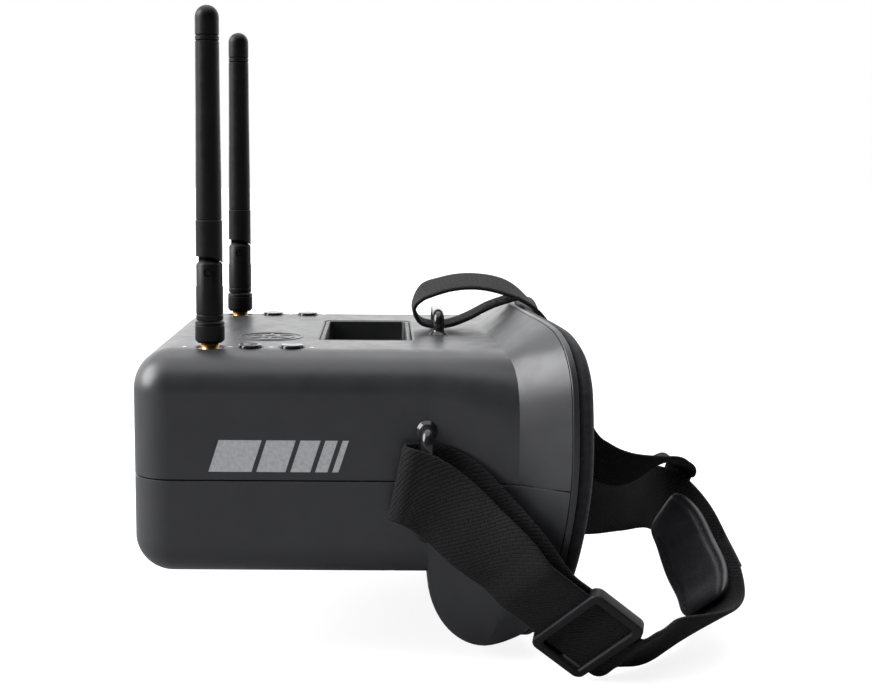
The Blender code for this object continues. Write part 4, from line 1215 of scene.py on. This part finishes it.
def make_straps():
    """The four straps, the return end with a mesh of its own, and the box stitches."""
    right, top = side_right_knots(), top_knots()
    right_samples, top_samples = 300, 260
    make_strap("side_strap_left_webbing", side_left_knots(), SIDE_STRAP_WIDTH, 320, ["side_strap_left"])
    back = make_strap("strap_return_webbing", return_knots(), SIDE_STRAP_WIDTH, 90, ["strap_return_left"])
    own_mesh(back)
    make_strap("side_strap_right_webbing", right, SIDE_STRAP_WIDTH, right_samples, ["side_strap_right"])
    make_strap("top_strap_webbing", top, TOP_STRAP_WIDTH, top_samples, ["top_strap"])
    stitches = []
    for knots, samples, width, ranges in (
        (right, right_samples, SIDE_STRAP_WIDTH, ((-14, -3), (2, 12))),
        (top, top_samples, TOP_STRAP_WIDTH, ((3, 13), (-12, -3))),
    ):
        course = strap_course(knots, samples)
        length = course[0][-1]
        for start, end in ranges:  # millimetres from the strap's start, or from its end where negative
            base = length if start < 0 else 0.0
            stitches += box_stitch(course, base + start * MM, base + end * MM, width)
    stitch_rows("strap_stitches", stitches, "case")


def make_back_pad():
    """The crowned lining pad, with a bound edge and a sewn line inside it."""
    half_width, thickness, shift = 11.5 * MM, 3.2 * MM, 2.2 * MM
    clear = STRAP_THICKNESS / 2 + 2 * GAP
    samples, count = 60, 40
    sewn_line, sewn_width, sewn_depth = 0.80, 0.05, 0.25  # shares of the half width and of the crown
    _, path, across, normal = strap_course(BACK_OF_HEAD, samples)
    rows, stitches = [], []
    for i, (p, a, n) in enumerate(zip(path, across, normal)):
        t = i / (samples - 1)
        end_round = math.sqrt(max(1 - (2 * t - 1) ** 12, 0.02))
        inward = n if n[1] < 0 else -n
        half = half_width * (0.86 + 0.56 * t * (1 - t)) * (0.6 + 0.4 * end_round)
        row = []
        for k in range(count):
            angle = 2 * math.pi * k / count
            u, v = math.cos(angle), math.sin(angle)
            u = math.copysign(abs(u) ** 0.45, u)
            out = math.copysign(abs(v) ** 0.6, v)
            dip = sewn_depth * math.exp(-((abs(u) - sewn_line) / sewn_width) ** 2) if out > 0 else 0.0
            crown = 0.5 * out * (1 - dip) * (0.35 + 0.65 * end_round)
            row.append(Vector(p + a * (u * half - shift) + inward * (clear + thickness * (0.5 + crown))))
        rows.append(row)
        if 3 <= i < samples - 3 and i % 3 == 0:
            height = clear + thickness * 0.5 * (1 + 0.75) + 0.15 * MM
            for u in (-sewn_line, sewn_line):
                centre = p + a * (u * half - shift) + inward * height
                stitches.append((centre, path[min(i + 1, samples - 1)] - path[i - 1], inward))
    mesh = loft("back_pad_lining", rows, angle=70)
    pad = new_object("back_pad_lining", mesh, LOOKS["lining"])
    finish_piece(pad, "case", ["back_pad"])
    stitch_rows("back_pad_stitches", stitches, "case", 1.6 * MM, 0.18 * MM)


def make_slider():
    """The slider: a rounded block with a way for the strap, a window in front and two slots behind."""
    axes = Matrix((RUN_ALONG, RUN_ACROSS, RUN_OUTWARD)).transposed().to_4x4()
    place = Matrix.Translation(SLIDER_CENTRE) @ axes
    half_x, half_y, half_z = 10.75 * MM, 16.25 * MM, SLIDER_HALF_THICKNESS
    soft = 0.8 * MM
    profile = []
    for angle in np.linspace(0, math.pi / 2, 6):
        profile.append((soft * (1 - math.sin(angle)), -half_z + soft * (1 - math.cos(angle))))
    profile += [(inset, -z) for inset, z in profile[::-1]]
    block = loft("block", plate_rows(half_x, half_y, 3 * MM, profile, place, 10))
    half_slot = SIDE_STRAP_WIDTH / 2 + 0.6 * MM
    clear = STRAP_THICKNESS / 2 + GAP
    bar, middle, far = 3 * MM, 1.7 * MM, 20 * MM

    def hollow(x_low, x_high, z_low, z_high):
        centre = Matrix.Translation(((x_low + x_high) / 2, 0, 0))
        ends = [(0, z_low), (0, z_high)]
        return loft("hollow", plate_rows((x_high - x_low) / 2, half_slot, 0.3 * MM, ends, place @ centre))

    mouth = [(0, 0), (0, half_z - 0.6 * MM), (-0.5 * MM, half_z), (-1.5 * MM, half_z + MM)]
    steps = [
        ("DIFFERENCE", hollow(-far, far, -clear, clear)),
        ("DIFFERENCE", loft("window", plate_rows(half_x - bar, half_slot, 1 * MM, mouth, place))),
        ("DIFFERENCE", hollow(-far, -middle, -far, 0)),
        ("DIFFERENCE", hollow(middle, far, -far, 0)),
    ]
    mesh = with_booleans("strap_slider_fine", block, steps)
    stand_in("strap_slider", mesh, SLIDER_LOOK)


# ---------------------------------------------------------------- printed and moulded marks
def flat_mark(name, points, place, thickness, material):
    """A thin raised shape; place maps its plane onto the surface."""
    rows = [[place @ Vector((x, y, z)) for x, y in points] for z in (-0.02 * MM, thickness)]
    mark = new_object(name, loft(name, rows), material)
    return finish_piece(mark, "case")


def make_marks():
    """Generic slanted bars on the side, and small dots and triangles by the buttons."""
    side_plane = Matrix(((0, 0, 1, HALF_WIDTH), (1, 0, 0, 0), (0, 1, 0, 0), (0, 0, 0, 1)))
    y, low, high, slant = -48 * MM, 36 * MM, 46.5 * MM, 3.4 * MM
    for index, width in enumerate((14, 9.5, 6.5, 4, 2)):
        width *= MM
        outline = [(y, low), (y + width, low), (y + width + slant, high), (y + slant, high)]
        flat_mark(f"side_bar_{index}", outline, side_plane, 0.05 * MM, PRINT_LOOK)
        y += width + 1.6 * MM
    key_marks = ((-57.5, 20, 0.7), (-42.3, 20, 0.9), (-28.6, 3, 1.3), (-15, 4, 1.0))  # y, corners, radius
    for side in SIDES:
        x = middle_and_half(f"button_{side}_front")[0].x
        for index, (mark_y, corners, radius) in enumerate(key_marks):
            outline = [
                (radius * MM * math.cos(a), radius * MM * math.sin(a))
                for a in np.linspace(0, 2 * math.pi, corners, endpoint=False)
            ]
            place = Matrix.Translation((x, mark_y * MM, HEIGHT))
            flat_mark(f"key_mark_{side}_{index}", outline, place, 0.04 * MM, WHITE_PRINT_LOOK)


def make_emblem():
    """A plain moulded ring ornament on the top face: three rings and six spokes."""
    centre = mm(22, -31, 75)
    sink, bevel, height, sides = 0.1 * MM, 0.1 * MM, 0.22 * MM, 96
    for index, (radius, width) in enumerate(((11.5, 0.9), (8.6, 0.5), (3.2, 0.9))):
        outer, inner = radius * MM, (radius - width) * MM
        profile = [(inner, -sink), (inner, height * 0.7), (inner + bevel, height)]
        profile += [(outer - bevel, height), (outer, height * 0.7), (outer, -sink)]
        loops = [list(loop) for loop in zip(*turn_rows(profile, sides, centre))]
        name = f"top_ring_{index}"
        ring = new_object(name, loft(name, loops, closed=True), LOOKS["shell_grey"])
        finish_piece(ring, "case")
    spoke_section = [(0, -sink), (0, 0.14 * MM), (bevel, height)]
    outwards = Matrix.Translation((5.7 * MM, 0, 0))
    for index in range(6):
        place = Matrix.Translation(centre) @ Matrix.Rotation(index * math.pi / 3, 4, "Z") @ outwards
        rows = plate_rows(2.0 * MM, 0.6 * MM, 0.5 * MM, spoke_section, place)
        name = f"top_spoke_{index}"
        finish_piece(new_object(name, loft(name, rows), LOOKS["shell_grey"]), "case")


# ---------------------------------------------------------------- stage, lights and camera
BEHIND_LIGHT, CAMERA_SIDE_LIGHT, FRONT_LIGHT = 1.9, 0.03, 0.38  # the studio's brightness that way
FLOOR_GLOW = 0.86  # what the camera sees on top of the lit floor


def make_camera():
    data = bpy.data.cameras.new("camera")
    camera = bpy.data.objects.new("camera", data)
    bpy.context.scene.collection.objects.link(camera)
    data.sensor_width = 36
    data.lens = 57.8
    data.shift_x = 0.0528
    data.clip_start, data.clip_end = 0.01, 20
    camera.location = (0.5137, 0.0083, 0.1368)
    yaw, pitch, roll = (math.radians(a) for a in (0.34, 7.68, 0.41))
    forward = Vector((-math.cos(pitch) * math.cos(yaw), math.cos(pitch) * math.sin(yaw), -math.sin(pitch)))
    rotation = forward.to_track_quat("-Z", "Y").to_matrix() @ Matrix.Rotation(roll, 3, "Z")
    camera.rotation_euler = rotation.to_euler()
    bpy.context.scene.camera = camera


def sun_light(name, direction, strength, spread):
    """A soft, even light from that direction."""
    data = bpy.data.lights.new(name, "SUN")
    data.energy = strength
    data.angle = math.radians(spread)
    light = bpy.data.objects.new(name, data)
    bpy.context.scene.collection.objects.link(light)
    light.rotation_euler = (-Vector(direction)).to_track_quat("-Z", "Y").to_euler()


def make_floor():
    """A pale sweep: near white where lit, with soft shadows, and a mild bounce onto the object."""
    bm = bmesh.new()
    bmesh.ops.create_grid(bm, x_segments=8, y_segments=8, size=8)
    bmesh.ops.translate(bm, vec=(0, 0, cad_bounds[0][2] - GAP), verts=bm.verts)
    surface = Surface("floor_look", 0.9, Specular_IOR_Level=0.05)
    surface.colour(surface.noise(0.8, 2), (0.27, 0.27, 0.28), (0.29, 0.29, 0.30))
    glow = surface.node("ShaderNodeEmission")
    glow.inputs["Color"].default_value = (1.0, 1.0, 1.0, 1)
    strength = surface.spread(surface.seen_by_camera(), 0.0, FLOOR_GLOW, 0.0, 1.0)
    surface.link(strength, glow.inputs["Strength"])
    added = surface.node("ShaderNodeAddShader")
    surface.link(surface.shader.outputs["BSDF"], added.inputs[0])
    surface.link(glow.outputs["Emission"], added.inputs[1])
    surface.link(added.outputs["Shader"], surface.tree.nodes["Material Output"].inputs["Surface"])
    new_object("floor", mesh_from("floor", bm), surface.material)


def make_world():
    """A white studio: bright behind the object, some light from the front, dark on the camera's side."""
    world = bpy.data.worlds.new("studio")
    studio = NodeBuilder(world)
    lit, backdrop = studio.tree.nodes["Background"], studio.node("ShaderNodeBackground")
    for background in (lit, backdrop):
        background.inputs["Color"].default_value = (1.0, 1.0, 1.0, 1)
    direction = studio.node("ShaderNodeSeparateXYZ")
    studio.link(studio.node("ShaderNodeTexCoord").outputs["Generated"], direction.inputs["Vector"])
    x, y = direction.outputs["X"], direction.outputs["Y"]
    total = studio.node("ShaderNodeMath", operation="ADD")
    behind = studio.spread(x, BEHIND_LIGHT, CAMERA_SIDE_LIGHT, -0.75, 0.15, "SMOOTHSTEP")
    front = studio.spread(y, FRONT_LIGHT, 0.0, -0.98, -0.55, "SMOOTHSTEP")
    studio.link(behind, total.inputs[0])
    studio.link(front, total.inputs[1])
    studio.link(total.outputs[0], lit.inputs["Strength"])
    pick = studio.node("ShaderNodeMixShader")
    studio.link(studio.seen_by_camera(), pick.inputs[0])
    studio.link(lit.outputs[0], pick.inputs[1])
    studio.link(backdrop.outputs[0], pick.inputs[2])
    studio.link(pick.outputs[0], studio.tree.nodes["World Output"].inputs["Surface"])
    bpy.context.scene.world = world


def make_stage():
    make_floor()
    make_world()
    sun_light("overhead", (0.0, -0.1, 1.0), 2.2, 70)
    sun_light("front_high", (0.08, -0.88, 0.48), 5.2, 42)
    bpy.context.scene.view_settings.view_transform = "Standard"


make_camera()
make_stage()
dress_cad_nodes()
make_shells()
make_face_ring()
make_battery_tray()
make_buttons()
for antenna_side in SIDES:
    make_antenna(antenna_side)
make_loops()
make_straps()
make_back_pad()
make_slider()
make_marks()
make_emblem()
